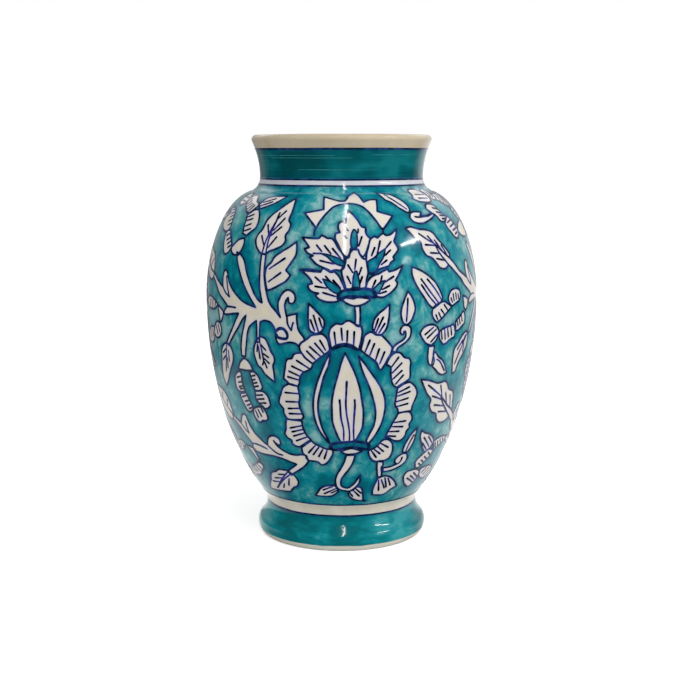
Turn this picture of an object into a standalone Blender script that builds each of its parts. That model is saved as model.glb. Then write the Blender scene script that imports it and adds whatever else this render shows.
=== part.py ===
"""A hand-painted ceramic vase, built in the sections that a potter lutes together with slip.

Five turned sections stand on one another along +Z: a foot ring, a pressed lower bowl, a pressed
shoulder shell, a thrown neck collar and a lip ring. Each section has its own origin on the axis at
the plane that it rests on, and each joint is a lap: a tongue or a spigot on one section enters the
rebate or the bore of the next, with a thin gap all round for the slip. Lengths are in metres.
"""

import math

import bmesh
import bpy

# Radii of the outline, from the bottom up
WAIST_RADIUS = 0.0475
FOOT_FLARE = 0.0059
FOOT_EDGE_WIDTH = 0.0042
BELLY_RADIUS = 0.0843
NECK_RADIUS = 0.0504

# Heights of the outline, from the bottom up
FOOT_EDGE_RISE = 0.0070
BELLY_DROP = 0.1520
SHOULDER_RISE = 0.0666
COLLAR_RISE = 0.0171
LIP_RISE = 0.0079

# Radii of the curves that join those
FOOT_ROUND = 0.0070
FOOT_SWEEP = 0.0135
WAIST_FILLET = 0.0080
NECK_FILLET = 0.0090
COLLAR_SWEEP = 0.0510
LIP_ROUND = 0.0026

# Walls and joints
FOOT_WALL = 0.0065
BODY_WALL = 0.0060
COLLAR_WALL = 0.0055
FLOOR_THICKNESS = 0.0100
SPIGOT_DEPTH = 0.0040
BELLY_LAP = 0.0050
NECK_LAP = 0.0040
LIP_LAP = 0.0030
SLIP_GAP = 0.0003
BORE_CHAMFER = 0.0010

# Facets: steps round the axis, and segments along each kind of curve
TURN_STEPS = 48
LONG_CURVE_SEGMENTS = 11
SHORT_CURVE_SEGMENTS = 4

# Glaze colours, as linear red, green and blue
TEAL_GLAZE = (0.010, 0.215, 0.235)
DEEP_TEAL_GLAZE = (0.004, 0.125, 0.145)
WHITE_GLAZE = (0.640, 0.600, 0.500)

# Sizes that follow from those above
FOOT_RADIUS = WAIST_RADIUS + FOOT_FLARE
FOOT_BORE = WAIST_RADIUS - FOOT_WALL
MOUTH_RADIUS = NECK_RADIUS - COLLAR_WALL
QUARTER_TURN = math.pi / 2


def curve(centre, radii, start, end, segments):
    """Points (radius, height) along an ellipse's arc, from one angle to another, both ends included."""
    points = []
    for index in range(segments + 1):
        angle = start + (end - start) * index / segments
        points.append((centre[0] + radii[0] * math.cos(angle), centre[1] + radii[1] * math.sin(angle)))
    return points


def ellipse_normal(radii, angle):
    """The unit normal, outwards, at an angle of an ellipse's own parameter."""
    across, along = math.cos(angle) / radii[0], math.sin(angle) / radii[1]
    length = math.hypot(across, along)
    return across / length, along / length


def fillet_on_ellipse(radii, fillet, reach):
    """The ellipse's angle where a fillet outside it touches, with the fillet's centre at a radius of reach.

    The ellipse is centred on zero. Reach falls steadily from the ellipse's end to its top, so the angle
    is found by halving the interval.
    """
    low, high = 0.0, QUARTER_TURN
    for _ in range(60):
        middle = (low + high) / 2
        if radii[0] * math.cos(middle) + fillet * ellipse_normal(radii, middle)[0] > reach:
            low = middle
        else:
            high = middle
    return low


def fillet_rise(radii, fillet, angle):
    """Height of the fillet's centre past the ellipse's centre."""
    return radii[1] * math.sin(angle) + fillet * ellipse_normal(radii, angle)[1]


# The belly's lower ellipse is centred on the axis, and meets the waist through a fillet
BELLY_RADII = (BELLY_RADIUS, BELLY_DROP)
WAIST_TOUCH = fillet_on_ellipse(BELLY_RADII, WAIST_FILLET, WAIST_RADIUS + WAIST_FILLET)
BOWL_RISE = fillet_rise(BELLY_RADII, WAIST_FILLET, WAIST_TOUCH)

# The shoulder's ellipse is centred at the neck's radius, and meets the neck through a fillet
SHOULDER_RADII = (BELLY_RADIUS - NECK_RADIUS, SHOULDER_RISE)
NECK_TOUCH = fillet_on_ellipse(SHOULDER_RADII, NECK_FILLET, NECK_FILLET)
SHELL_RISE = fillet_rise(SHOULDER_RADII, NECK_FILLET, NECK_TOUCH)

# The foot's flare is two arcs that turn by the same angle, one each way
FLARE_TURN = math.acos(1 - FOOT_FLARE / (FOOT_ROUND + FOOT_SWEEP))
FOOT_RISE = FOOT_EDGE_RISE + (FOOT_ROUND + FOOT_SWEEP) * math.sin(FLARE_TURN)

# Height of each section's own resting plane
BOWL_BASE = FOOT_RISE + SLIP_GAP
SHELL_BASE = BOWL_BASE + BOWL_RISE + SLIP_GAP
COLLAR_BASE = SHELL_BASE + SHELL_RISE + SLIP_GAP
LIP_BASE = COLLAR_BASE + COLLAR_RISE + SLIP_GAP


def collar_radius(height):
    """Outer radius of the flare at a height above the collar's resting plane."""
    return NECK_RADIUS + COLLAR_SWEEP - math.sqrt(COLLAR_SWEEP**2 - height**2)


def tongue_split(wall):
    """Depth of a lap joint's outer half: the tongue keeps the rest of the wall."""
    return wall / 2


def foot_outline():
    """Flared ring: the sweep and the round down its outside, the rolled edge, and a plain bore."""
    sweep_centre = (WAIST_RADIUS + FOOT_SWEEP, FOOT_RISE)
    round_centre = (FOOT_RADIUS - FOOT_ROUND, FOOT_EDGE_RISE)
    edge_centre = (FOOT_RADIUS - FOOT_EDGE_WIDTH, FOOT_EDGE_RISE)
    sweep = curve(sweep_centre, (FOOT_SWEEP, FOOT_SWEEP), math.pi, math.pi + FLARE_TURN, SHORT_CURVE_SEGMENTS)
    rounding = curve(round_centre, (FOOT_ROUND, FOOT_ROUND), FLARE_TURN, 0, SHORT_CURVE_SEGMENTS)
    edge = curve(edge_centre, (FOOT_EDGE_WIDTH, FOOT_EDGE_RISE), 0, -QUARTER_TURN, SHORT_CURVE_SEGMENTS)
    bore = [
        (FOOT_BORE + BORE_CHAMFER, 0),
        (FOOT_BORE, BORE_CHAMFER),
        (FOOT_BORE, FOOT_RISE),
    ]
    return sweep + rounding[1:] + edge[1:] + bore


def bowl_outline():
    """Pressed bowl with a closed floor, a spigot for the foot's bore and a tongue round its rim."""
    inner_radii = (BELLY_RADIUS - BODY_WALL, BELLY_DROP - BODY_WALL)
    spigot = FOOT_BORE - SLIP_GAP
    floor = FLOOR_THICKNESS - SPIGOT_DEPTH
    floor_angle = math.asin((BOWL_RISE - floor) / inner_radii[1])
    centre = (0, BOWL_RISE)
    waist_centre = (WAIST_RADIUS + WAIST_FILLET, 0)
    waist_normal = ellipse_normal(BELLY_RADII, WAIST_TOUCH)
    waist_turn = math.pi - math.atan2(waist_normal[1], waist_normal[0])

    inside = curve(centre, inner_radii, -floor_angle, 0, LONG_CURVE_SEGMENTS)
    step = BELLY_RADIUS - tongue_split(BODY_WALL)
    rim = [
        (BELLY_RADIUS - BODY_WALL, BOWL_RISE + BELLY_LAP),
        (step, BOWL_RISE + BELLY_LAP),
        (step, BOWL_RISE),
    ]
    outside = curve(centre, BELLY_RADII, 0, -WAIST_TOUCH, LONG_CURVE_SEGMENTS)
    waist = curve(waist_centre, (WAIST_FILLET, WAIST_FILLET), waist_turn, math.pi, SHORT_CURVE_SEGMENTS)
    underside = [(spigot, 0), (spigot, -SPIGOT_DEPTH), (0, -SPIGOT_DEPTH)]
    return [(0, floor)] + inside + rim + outside + waist[1:] + underside


def shell_outline():
    """Pressed upper half: a rebate over the bowl's tongue, the shoulder, and a tongue at the neck."""
    inner_radii = (BELLY_RADIUS - BODY_WALL - MOUTH_RADIUS, SHOULDER_RISE - BODY_WALL)
    rebate = BELLY_RADIUS - tongue_split(BODY_WALL) + SLIP_GAP
    inner_angle = math.asin(BELLY_LAP / inner_radii[1])
    neck_centre = (NECK_RADIUS + NECK_FILLET, SHELL_RISE)
    neck_normal = ellipse_normal(SHOULDER_RADII, NECK_TOUCH)
    neck_turn = math.pi + math.atan2(neck_normal[1], neck_normal[0])
    tongue = NECK_RADIUS - tongue_split(COLLAR_WALL)

    rim = [
        (MOUTH_RADIUS, SHELL_RISE + NECK_LAP),
        (tongue, SHELL_RISE + NECK_LAP),
        (tongue, SHELL_RISE),
    ]
    neck = curve(neck_centre, (NECK_FILLET, NECK_FILLET), math.pi, neck_turn, SHORT_CURVE_SEGMENTS)
    shoulder = curve((NECK_RADIUS, 0), SHOULDER_RADII, NECK_TOUCH, 0, LONG_CURVE_SEGMENTS)
    seat = [(rebate, 0), (rebate, BELLY_LAP)]
    inside = curve((MOUTH_RADIUS, 0), inner_radii, inner_angle, QUARTER_TURN, LONG_CURVE_SEGMENTS)
    return rim + neck + shoulder[1:] + seat + inside


def flared_section(base, rise, lap_below, top):
    """A stretch of the flared wall above the neck: its outside down to its seat, the rebate and the inside.

    Base is the stretch's resting plane above the collar's own, and top the points that close its upper end.
    """
    heights = [rise * index / SHORT_CURVE_SEGMENTS for index in range(SHORT_CURVE_SEGMENTS + 1)]
    outside = [(collar_radius(base + height), height) for height in reversed(heights)]
    rebate = collar_radius(base) - tongue_split(COLLAR_WALL) + SLIP_GAP
    inner_rises = [lap_below + (rise - lap_below) * height / rise for height in heights]
    inside = [(collar_radius(base + height) - COLLAR_WALL, height) for height in inner_rises]
    return outside + [(rebate, 0), (rebate, lap_below)] + inside + top


def collar_outline():
    """Thrown collar, flaring upwards, with a rebate below and a tongue above."""
    tongue = collar_radius(COLLAR_RISE) - tongue_split(COLLAR_WALL)
    tongue_inside = collar_radius(COLLAR_RISE + LIP_LAP) - COLLAR_WALL
    top = [
        (tongue_inside, COLLAR_RISE + LIP_LAP),
        (tongue, COLLAR_RISE + LIP_LAP),
        (tongue, COLLAR_RISE),
    ]
    return flared_section(0, COLLAR_RISE, NECK_LAP, top)


def lip_outline():
    """Thrown lip that carries the flare on, with its upper edge rounded on both sides."""
    base = COLLAR_RISE + SLIP_GAP
    shoulder = LIP_RISE - LIP_ROUND
    outer = collar_radius(base + shoulder)
    inner = outer - COLLAR_WALL
    round_radii = (LIP_ROUND, LIP_ROUND)
    inner_round = curve((inner + LIP_ROUND, shoulder), round_radii, math.pi, QUARTER_TURN, SHORT_CURVE_SEGMENTS)
    outer_round = curve((outer - LIP_ROUND, shoulder), round_radii, QUARTER_TURN, 0, SHORT_CURVE_SEGMENTS)
    return flared_section(base, shoulder, LIP_LAP, inner_round[1:] + outer_round[:-1])


def glaze(name, colour, roughness):
    """A glossy fired glaze."""
    material = bpy.data.materials.new(name)
    material.use_nodes = True
    shader = material.node_tree.nodes["Principled BSDF"]
    shader.inputs["Base Color"].default_value = (*colour, 1)
    shader.inputs["Roughness"].default_value = roughness
    shader.inputs["Metallic"].default_value = 0
    return material


def turned(name, outline, base, closed, material, collection, axis):
    """A section turned about the axis from its outline, standing with its resting plane at base."""
    mesh = bpy.data.meshes.new(name)
    profile = bmesh.new()
    points = [profile.verts.new((radius, 0, height)) for radius, height in outline]
    for first, second in zip(points, points[1:]):
        profile.edges.new((first, second))
    if closed:
        profile.edges.new((points[-1], points[0]))
    profile.to_mesh(mesh)
    profile.free()
    mesh.materials.append(material)

    section = bpy.data.objects.new(name, mesh)
    collection.objects.link(section)
    section.parent = axis
    section.location.z = base
    screw = section.modifiers.new("Turned", "SCREW")
    screw.axis = "Z"
    screw.steps = screw.render_steps = TURN_STEPS
    screw.use_merge_vertices = True
    screw.merge_threshold = 0.00001
    screw.use_smooth_shade = True
    return section


def main():
    """Clears the scene and builds the vase."""
    for old in list(bpy.data.objects):
        bpy.data.objects.remove(old)
    collection = bpy.data.collections.new("ceramic_vase")
    bpy.context.scene.collection.children.link(collection)
    axis = bpy.data.objects.new("vase_axis", None)
    collection.objects.link(axis)

    teal = glaze("teal_glaze", TEAL_GLAZE, 0.12)
    deep_teal = glaze("deep_teal_glaze", DEEP_TEAL_GLAZE, 0.12)
    white = glaze("white_glaze", WHITE_GLAZE, 0.15)

    turned("foot_ring", foot_outline(), 0, True, teal, collection, axis)
    turned("lower_bowl", bowl_outline(), BOWL_BASE, False, teal, collection, axis)
    turned("shoulder_shell", shell_outline(), SHELL_BASE, True, teal, collection, axis)
    turned("neck_collar", collar_outline(), COLLAR_BASE, True, deep_teal, collection, axis)
    turned("lip_ring", lip_outline(), LIP_BASE, True, white, collection, axis)


main()
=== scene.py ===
"""Looks of a hand-painted ceramic vase: its glazed wall, painted ornament, stage and camera.

The wall is five turned pieces that stand where the frame's sections are. The ornament lies on the
wall as thin fired layers: white slip reserves, teal washes and cobalt lines. It is drawn on the
unrolled wall, as degrees round the axis and millimetres up, and Geometry Nodes lay it on.
Lengths are in metres unless a name says millimetres or degrees.
"""

import logging
import math
import random
from dataclasses import dataclass, replace
from enum import Enum, IntEnum

import bpy
import numpy as np
from bpy.types import bpy_prop_collection, Material, Mesh, Node, NodeSocket, NodeTree, Object, Scene
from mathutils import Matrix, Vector, geometry, kdtree


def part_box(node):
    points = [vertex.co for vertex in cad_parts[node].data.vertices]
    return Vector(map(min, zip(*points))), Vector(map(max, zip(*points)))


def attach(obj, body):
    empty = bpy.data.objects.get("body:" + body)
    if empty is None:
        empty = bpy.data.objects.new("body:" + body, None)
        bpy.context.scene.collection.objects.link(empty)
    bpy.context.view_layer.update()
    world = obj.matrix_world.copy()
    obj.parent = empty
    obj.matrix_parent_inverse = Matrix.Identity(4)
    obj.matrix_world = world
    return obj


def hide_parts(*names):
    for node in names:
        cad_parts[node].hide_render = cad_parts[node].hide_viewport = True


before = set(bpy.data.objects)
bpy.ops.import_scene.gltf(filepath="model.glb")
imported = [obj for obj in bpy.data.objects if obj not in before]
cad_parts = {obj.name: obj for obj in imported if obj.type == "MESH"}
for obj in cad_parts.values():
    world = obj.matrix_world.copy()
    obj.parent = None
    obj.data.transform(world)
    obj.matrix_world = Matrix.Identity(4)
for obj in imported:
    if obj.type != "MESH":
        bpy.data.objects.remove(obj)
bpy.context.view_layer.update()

LOG = logging.getLogger("vase")
MM = 0.001
FULL_TURN = 2 * math.pi
QUARTER_TURN = math.pi / 2
BAKE_MAP = "OFBake"
SKIN_NORMAL = "skin_normal"
HALF_WIDTH = "half_width"
BLEED = "bleed"
# The spots' amount, kept on the wall's points: partly the wash's own unevenness, partly painted light and
# shade.
PALE_WASH_AND_LIGHT = "thin"
LOAD = "load"
REPEAT_DEGREES = 120.0
ARC_STEPS = 400
FLARE_STEPS = 200
HALVINGS = 60
LIP_ROUNDS = 20
ON_AXIS = 1e-7
SAME_PLACE = 1e-9
LEAST = 1e-12
Pair = tuple[float, float]
Triple = tuple[float, float, float]


def linear(code: str) -> tuple[float, float, float, float]:
    """Turns an sRGB hex colour into linear red, green, blue and alpha.

    Args:
        code: six hex digits.

    Returns:
        The linear colour, with an alpha of 1.
    """
    shares = [int(code[i : i + 2], 16) / 255 for i in (0, 2, 4)]
    light = [c / 12.92 if c <= 0.04045 else ((c + 0.055) / 1.055) ** 2.4 for c in shares]
    return (*light, 1.0)


def add(
    tree: NodeTree, kind: str, links: dict | None = None, stops: tuple = (), **settings: object
) -> Node:
    """Adds a node, with its settings, its colour stops and its inputs.

    Args:
        tree: the node tree that gets the node.
        kind: the node's type.
        links: each input's name or index, with its value, a socket, or a node for its first socket.
        stops: places and colours of a colour ramp.
        settings: the node's own properties.

    Returns:
        The new node.
    """
    node = tree.nodes.new(kind)
    for key, value in settings.items():
        setattr(node, key, value)
    if stops:
        ramp = node.color_ramp
        while len(ramp.elements) < len(stops):
            ramp.elements.new(1.0)
        for element, (place, colour) in zip(ramp.elements, stops):
            element.position, element.color = place, colour
    for key, value in (links or {}).items():
        if isinstance(value, (Node, NodeSocket)):
            tree.links.new(value.outputs[0] if isinstance(value, Node) else value, node.inputs[key])
        else:
            node.inputs[key].default_value = value
    return node


def read(items: bpy_prop_collection, label: str, width: int = 1, kind: type = float) -> np.ndarray:
    """Reads one property of all of a mesh's points, corners or faces.

    Args:
        items: the points, corners or faces.
        label: the property.
        width: how many numbers each item has.
        kind: the numbers' type.

    Returns:
        One row for each item, or one number where the width is 1.
    """
    values = np.zeros(len(items) * width, kind)
    items.foreach_get(label, values)
    return values.reshape(-1, width) if width > 1 else values


def keep_amounts(mesh: Mesh, label: str, amounts: np.ndarray | list[float]) -> None:
    """Keeps one amount for each of a mesh's points, for a material or a node tree to read."""
    mesh.attributes.new(label, "FLOAT", "POINT").data.foreach_set("value", amounts)


class Layer(Enum):
    """How far each painted layer's face stands off the wall, in millimetres."""

    SLIP = 0.05
    WASH = 0.08
    LINE = 0.12


class Brush(Enum):
    """Painted lines by their width in millimetres, where they start and where they end."""

    OUTLINE = (1.25, 1.25)
    FINE = (1.0, 1.0)
    HEAVY = (1.9, 1.7)
    HATCH = (1.35, 1.0)
    RING = (1.05, 1.05)
    # A painted glint: a thin pale line on the collar.
    SKIP = (0.35, 0.2)


class Finish(IntEnum):
    """A turned piece's finishes, by their place in its list of materials."""

    OUTSIDE = 0
    INSIDE = 1
    JOINT = 2


@dataclass
class Outline:
    """The wall's turned outline: the frame gives heights and the widest radii, the fields the rest."""

    waist_radius: float = 0.0475
    neck_radius: float = 0.0504
    foot_edge_width: float = 0.0042
    foot_edge_rise: float = 0.0070
    foot_round: float = 0.0070
    foot_sweep: float = 0.0135
    belly_drop: float = 0.1520
    shoulder_rise: float = 0.0666
    waist_fillet: float = 0.0080
    neck_fillet: float = 0.0090
    collar_sweep: float = 0.0510
    lip_round: float = 0.0026
    foot_wall: float = 0.0065
    body_wall: float = 0.0060
    collar_wall: float = 0.0055
    slip_gap: float = 0.0003
    sample_step: float = 0.0001

    def __post_init__(self) -> None:
        """Reads the sections' heights and radii from the frame, and samples the outside."""
        boxes = {name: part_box(name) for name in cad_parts}
        self.foot_top = boxes["foot_ring"][1].z
        self.foot_radius = boxes["foot_ring"][1].x
        self.spigot_base = boxes["lower_bowl"][0].z
        self.belly_radius = boxes["lower_bowl"][1].x
        self.shell_base = boxes["shoulder_shell"][0].z
        self.collar_base = boxes["neck_collar"][0].z
        self.lip_base = boxes["lip_ring"][0].z
        self.top = boxes["lip_ring"][1].z
        self.belly_line = self.shell_base - self.slip_gap
        self.mouth_radius = self.neck_radius - self.collar_wall
        self.samples = self._sampled()

    def collar_radius(self, height: float) -> float:
        """Outer radius of the flare above the neck, at a height above the collar's base."""
        return self.neck_radius + self.collar_sweep - math.sqrt(self.collar_sweep**2 - height**2)

    @staticmethod
    def arc(centre: tuple, radii: tuple, start: float, end: float, count: int = ARC_STEPS) -> list:
        """Points, as radius and height, along an ellipse's arc from one angle to another."""
        turns = [start + (end - start) * i / count for i in range(count + 1)]
        return [(centre[0] + radii[0] * math.cos(t), centre[1] + radii[1] * math.sin(t)) for t in turns]

    @staticmethod
    def _touch(radii: tuple, fillet: float, reach: float) -> Pair:
        """Finds where a fillet outside an ellipse touches it, by halving the interval.

        Args:
            radii: the ellipse's semi-axes.
            fillet: the fillet's radius.
            reach: how far from the ellipse's centre line the fillet's centre lies.

        Returns:
            The ellipse's own angle there, and the normal's angle.
        """
        low, high = 0.0, QUARTER_TURN
        for _ in range(HALVINGS):
            angle = (low + high) / 2
            lean = math.atan2(math.sin(angle) / radii[1], math.cos(angle) / radii[0])
            if radii[0] * math.cos(angle) + fillet * math.cos(lean) > reach:
                low = angle
            else:
                high = angle
        return angle, lean

    def _sampled(self) -> dict[str, np.ndarray]:
        """Samples the outside evenly from the foot's edge to the lip's top.

        Returns:
            Radii, heights and the normal's two parts, at even steps along the outline.
        """
        flare = math.acos(1 - (self.foot_radius - self.waist_radius) / (self.foot_round + self.foot_sweep))
        belly = (self.belly_radius, self.belly_drop)
        shoulder = (self.belly_radius - self.neck_radius, self.shoulder_rise)
        waist_touch, waist_lean = self._touch(belly, self.waist_fillet, self.waist_radius + self.waist_fillet)
        neck_touch, neck_lean = self._touch(shoulder, self.neck_fillet, self.neck_fillet)
        rise, lean = self.lip_base - self.collar_base, 0.0
        for _ in range(LIP_ROUNDS):
            lean = math.asin(rise / self.collar_sweep)
            rise = self.top - self.collar_base - self.lip_round * (1 + math.sin(lean))
        lip_centre = self.collar_radius(rise) - self.lip_round * math.cos(lean)
        waist_base = self.foot_top + self.slip_gap
        neck_top = self.collar_base - self.slip_gap

        outside = self.arc(
            (self.foot_radius - self.foot_edge_width, self.foot_edge_rise),
            (self.foot_edge_width, self.foot_edge_rise), -QUARTER_TURN, 0,
        )
        outside += self.arc(
            (self.foot_radius - self.foot_round, self.foot_edge_rise), (self.foot_round,) * 2, 0, flare
        )
        outside += self.arc(
            (self.waist_radius + self.foot_sweep, self.foot_top), (self.foot_sweep,) * 2,
            math.pi + flare, math.pi,
        )
        outside += self.arc(
            (self.waist_radius + self.waist_fillet, waist_base), (self.waist_fillet,) * 2,
            math.pi, math.pi - waist_lean,
        )
        outside += self.arc((0, self.belly_line), belly, -waist_touch, 0)
        outside += self.arc((self.neck_radius, self.shell_base), shoulder, 0, neck_touch)
        outside += self.arc(
            (self.neck_radius + self.neck_fillet, neck_top), (self.neck_fillet,) * 2,
            math.pi + neck_lean, math.pi,
        )
        flared = np.linspace(0, rise, FLARE_STEPS)
        outside += [(self.collar_radius(up), self.collar_base + up) for up in flared]
        outside += self.arc(
            (lip_centre, self.top - self.lip_round), (self.lip_round,) * 2, -lean, QUARTER_TURN
        )

        points = np.array(outside)
        steps = np.hypot(*np.diff(points, axis=0).T)
        points = points[np.concatenate([[True], steps > SAME_PLACE])]
        along = np.concatenate([[0], np.cumsum(np.hypot(*np.diff(points, axis=0).T))])
        even = np.linspace(0, along[-1], int(along[-1] / self.sample_step))
        radii, heights = np.interp(even, along, points[:, 0]), np.interp(even, along, points[:, 1])
        slope_r, slope_z = np.gradient(radii), np.gradient(heights)
        length = np.hypot(slope_r, slope_z)
        return {"r": radii, "z": heights, "nr": slope_z / length, "nz": -slope_r / length}

    def at(self, heights: np.ndarray) -> tuple[np.ndarray, np.ndarray, np.ndarray]:
        """Radii of the outside at some heights, and the normal's parts away from the axis and upwards."""
        s = self.samples
        return tuple(np.interp(heights, s["z"], s[key]) for key in ("r", "nr", "nz"))

    def outside(self, low: float, high: float, step: float) -> np.ndarray:
        """Points up the outside between two heights.

        Args:
            low: first height.
            high: last height.
            step: spacing along the outline.

        Returns:
            Rows of radius, height and the normal's two parts.
        """
        s = self.samples
        inside = (s["z"] > low) & (s["z"] < high)
        stride = max(1, round(step / self.sample_step))
        heights = np.concatenate([[low], s["z"][inside][stride // 2 :: stride], [high]])
        radii, across, up = self.at(heights)
        return np.column_stack([radii, heights, across, up])

    def point(self, chart: np.ndarray) -> np.ndarray:
        """Places on the wall, as rows of x, y and z, of rows of angle and height on the unrolled chart."""
        radii = self.at(chart[:, 1])[0]
        return np.column_stack([radii * np.sin(chart[:, 0]), -radii * np.cos(chart[:, 0]), chart[:, 1]])


def straight_run(points: list | tuple) -> np.ndarray:
    """Gives a plain run of outline points the normals that their slope has.

    Args:
        points: radius and height, in the order up the outside and down the inside.

    Returns:
        Rows of radius, height and the normal's two parts.
    """
    places = np.array(points, float)
    slope = np.gradient(places, axis=0)
    slope /= np.maximum(np.hypot(slope[:, 0], slope[:, 1])[:, None], LEAST)
    return np.column_stack([places, slope[:, 1], -slope[:, 0]])


def turned(name: str, runs: list[tuple[np.ndarray, Finish]], steps: int, closed: bool) -> Object:
    """Turns an outline round the axis, with smooth normals along each of its runs.

    Args:
        name: the object's name.
        runs: stretches of the outline with their finish; each starts where the last one ends.
        steps: facets round the axis.
        closed: whether the last run ends where the first one starts.

    Returns:
        The new object, with a map that unrolls the wall.
    """
    rows = [row for index, (run, _) in enumerate(runs) for row in (run if index == 0 else run[1:])]
    outline = np.array(rows[:-1] if closed else rows)
    lengths = np.hypot(*np.diff(outline[:, :2], axis=0, append=outline[:1, :2]).T)
    along = np.concatenate([[0], np.cumsum(lengths)])
    along /= along[-1] if closed else along[-2]
    turns = -math.pi + FULL_TURN * np.arange(steps) / steps
    sines, cosines = np.sin(turns), -np.cos(turns)

    verts, rings = [], []
    for radius, height in outline[:, :2]:
        if radius < ON_AXIS:
            rings.append([len(verts)] * steps)
            verts.append((0, 0, height))
        else:
            rings.append(list(range(len(verts), len(verts) + steps)))
            verts.extend(zip(radius * sines, radius * cosines, [height] * steps))

    faces, normals, maps, finishes = [], [], [], []
    place = 0
    for run, finish in runs:
        for lower, upper in zip(run, run[1:]):
            ring, above = rings[place], rings[(place + 1) % len(rings)]
            place += 1
            for step in range(steps):
                after = (step + 1) % steps
                corners = [(ring, step, lower, 0), (ring, after, lower, 0)]
                corners += [(above, after, upper, 1), (above, step, upper, 1)]
                if ring[0] == ring[1]:
                    corners.pop(1)
                if above[0] == above[1]:
                    corners.pop(-1)
                faces.append([circle[at] for circle, at, _, _ in corners])
                finishes.append(int(finish))
                for _, at, row, side in corners:
                    normals.append((row[2] * sines[at], row[2] * cosines[at], row[3]))
                    maps.append(((step + (at != step)) / steps, along[place - 1 + side]))

    mesh = bpy.data.meshes.new(name)
    mesh.from_pydata(verts, [], faces)
    mesh.shade_smooth()
    mesh.polygons.foreach_set("material_index", finishes)
    mesh.uv_layers.new(name=BAKE_MAP).data.foreach_set("uv", np.array(maps).ravel())
    mesh.normals_split_custom_set(normals)
    piece = bpy.data.objects.new(name, mesh)
    bpy.context.scene.collection.objects.link(piece)
    return piece


def baked(piece: Object) -> None:
    """Turns an object's modifiers into its plain mesh.

    Args:
        piece: the object, which keeps its name.
    """
    graph = bpy.context.evaluated_depsgraph_get()
    plain = bpy.data.meshes.new_from_object(piece.evaluated_get(graph))
    piece.modifiers.clear()
    old, piece.data = piece.data, plain
    plain.name = piece.name
    bpy.data.meshes.remove(old)


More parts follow.
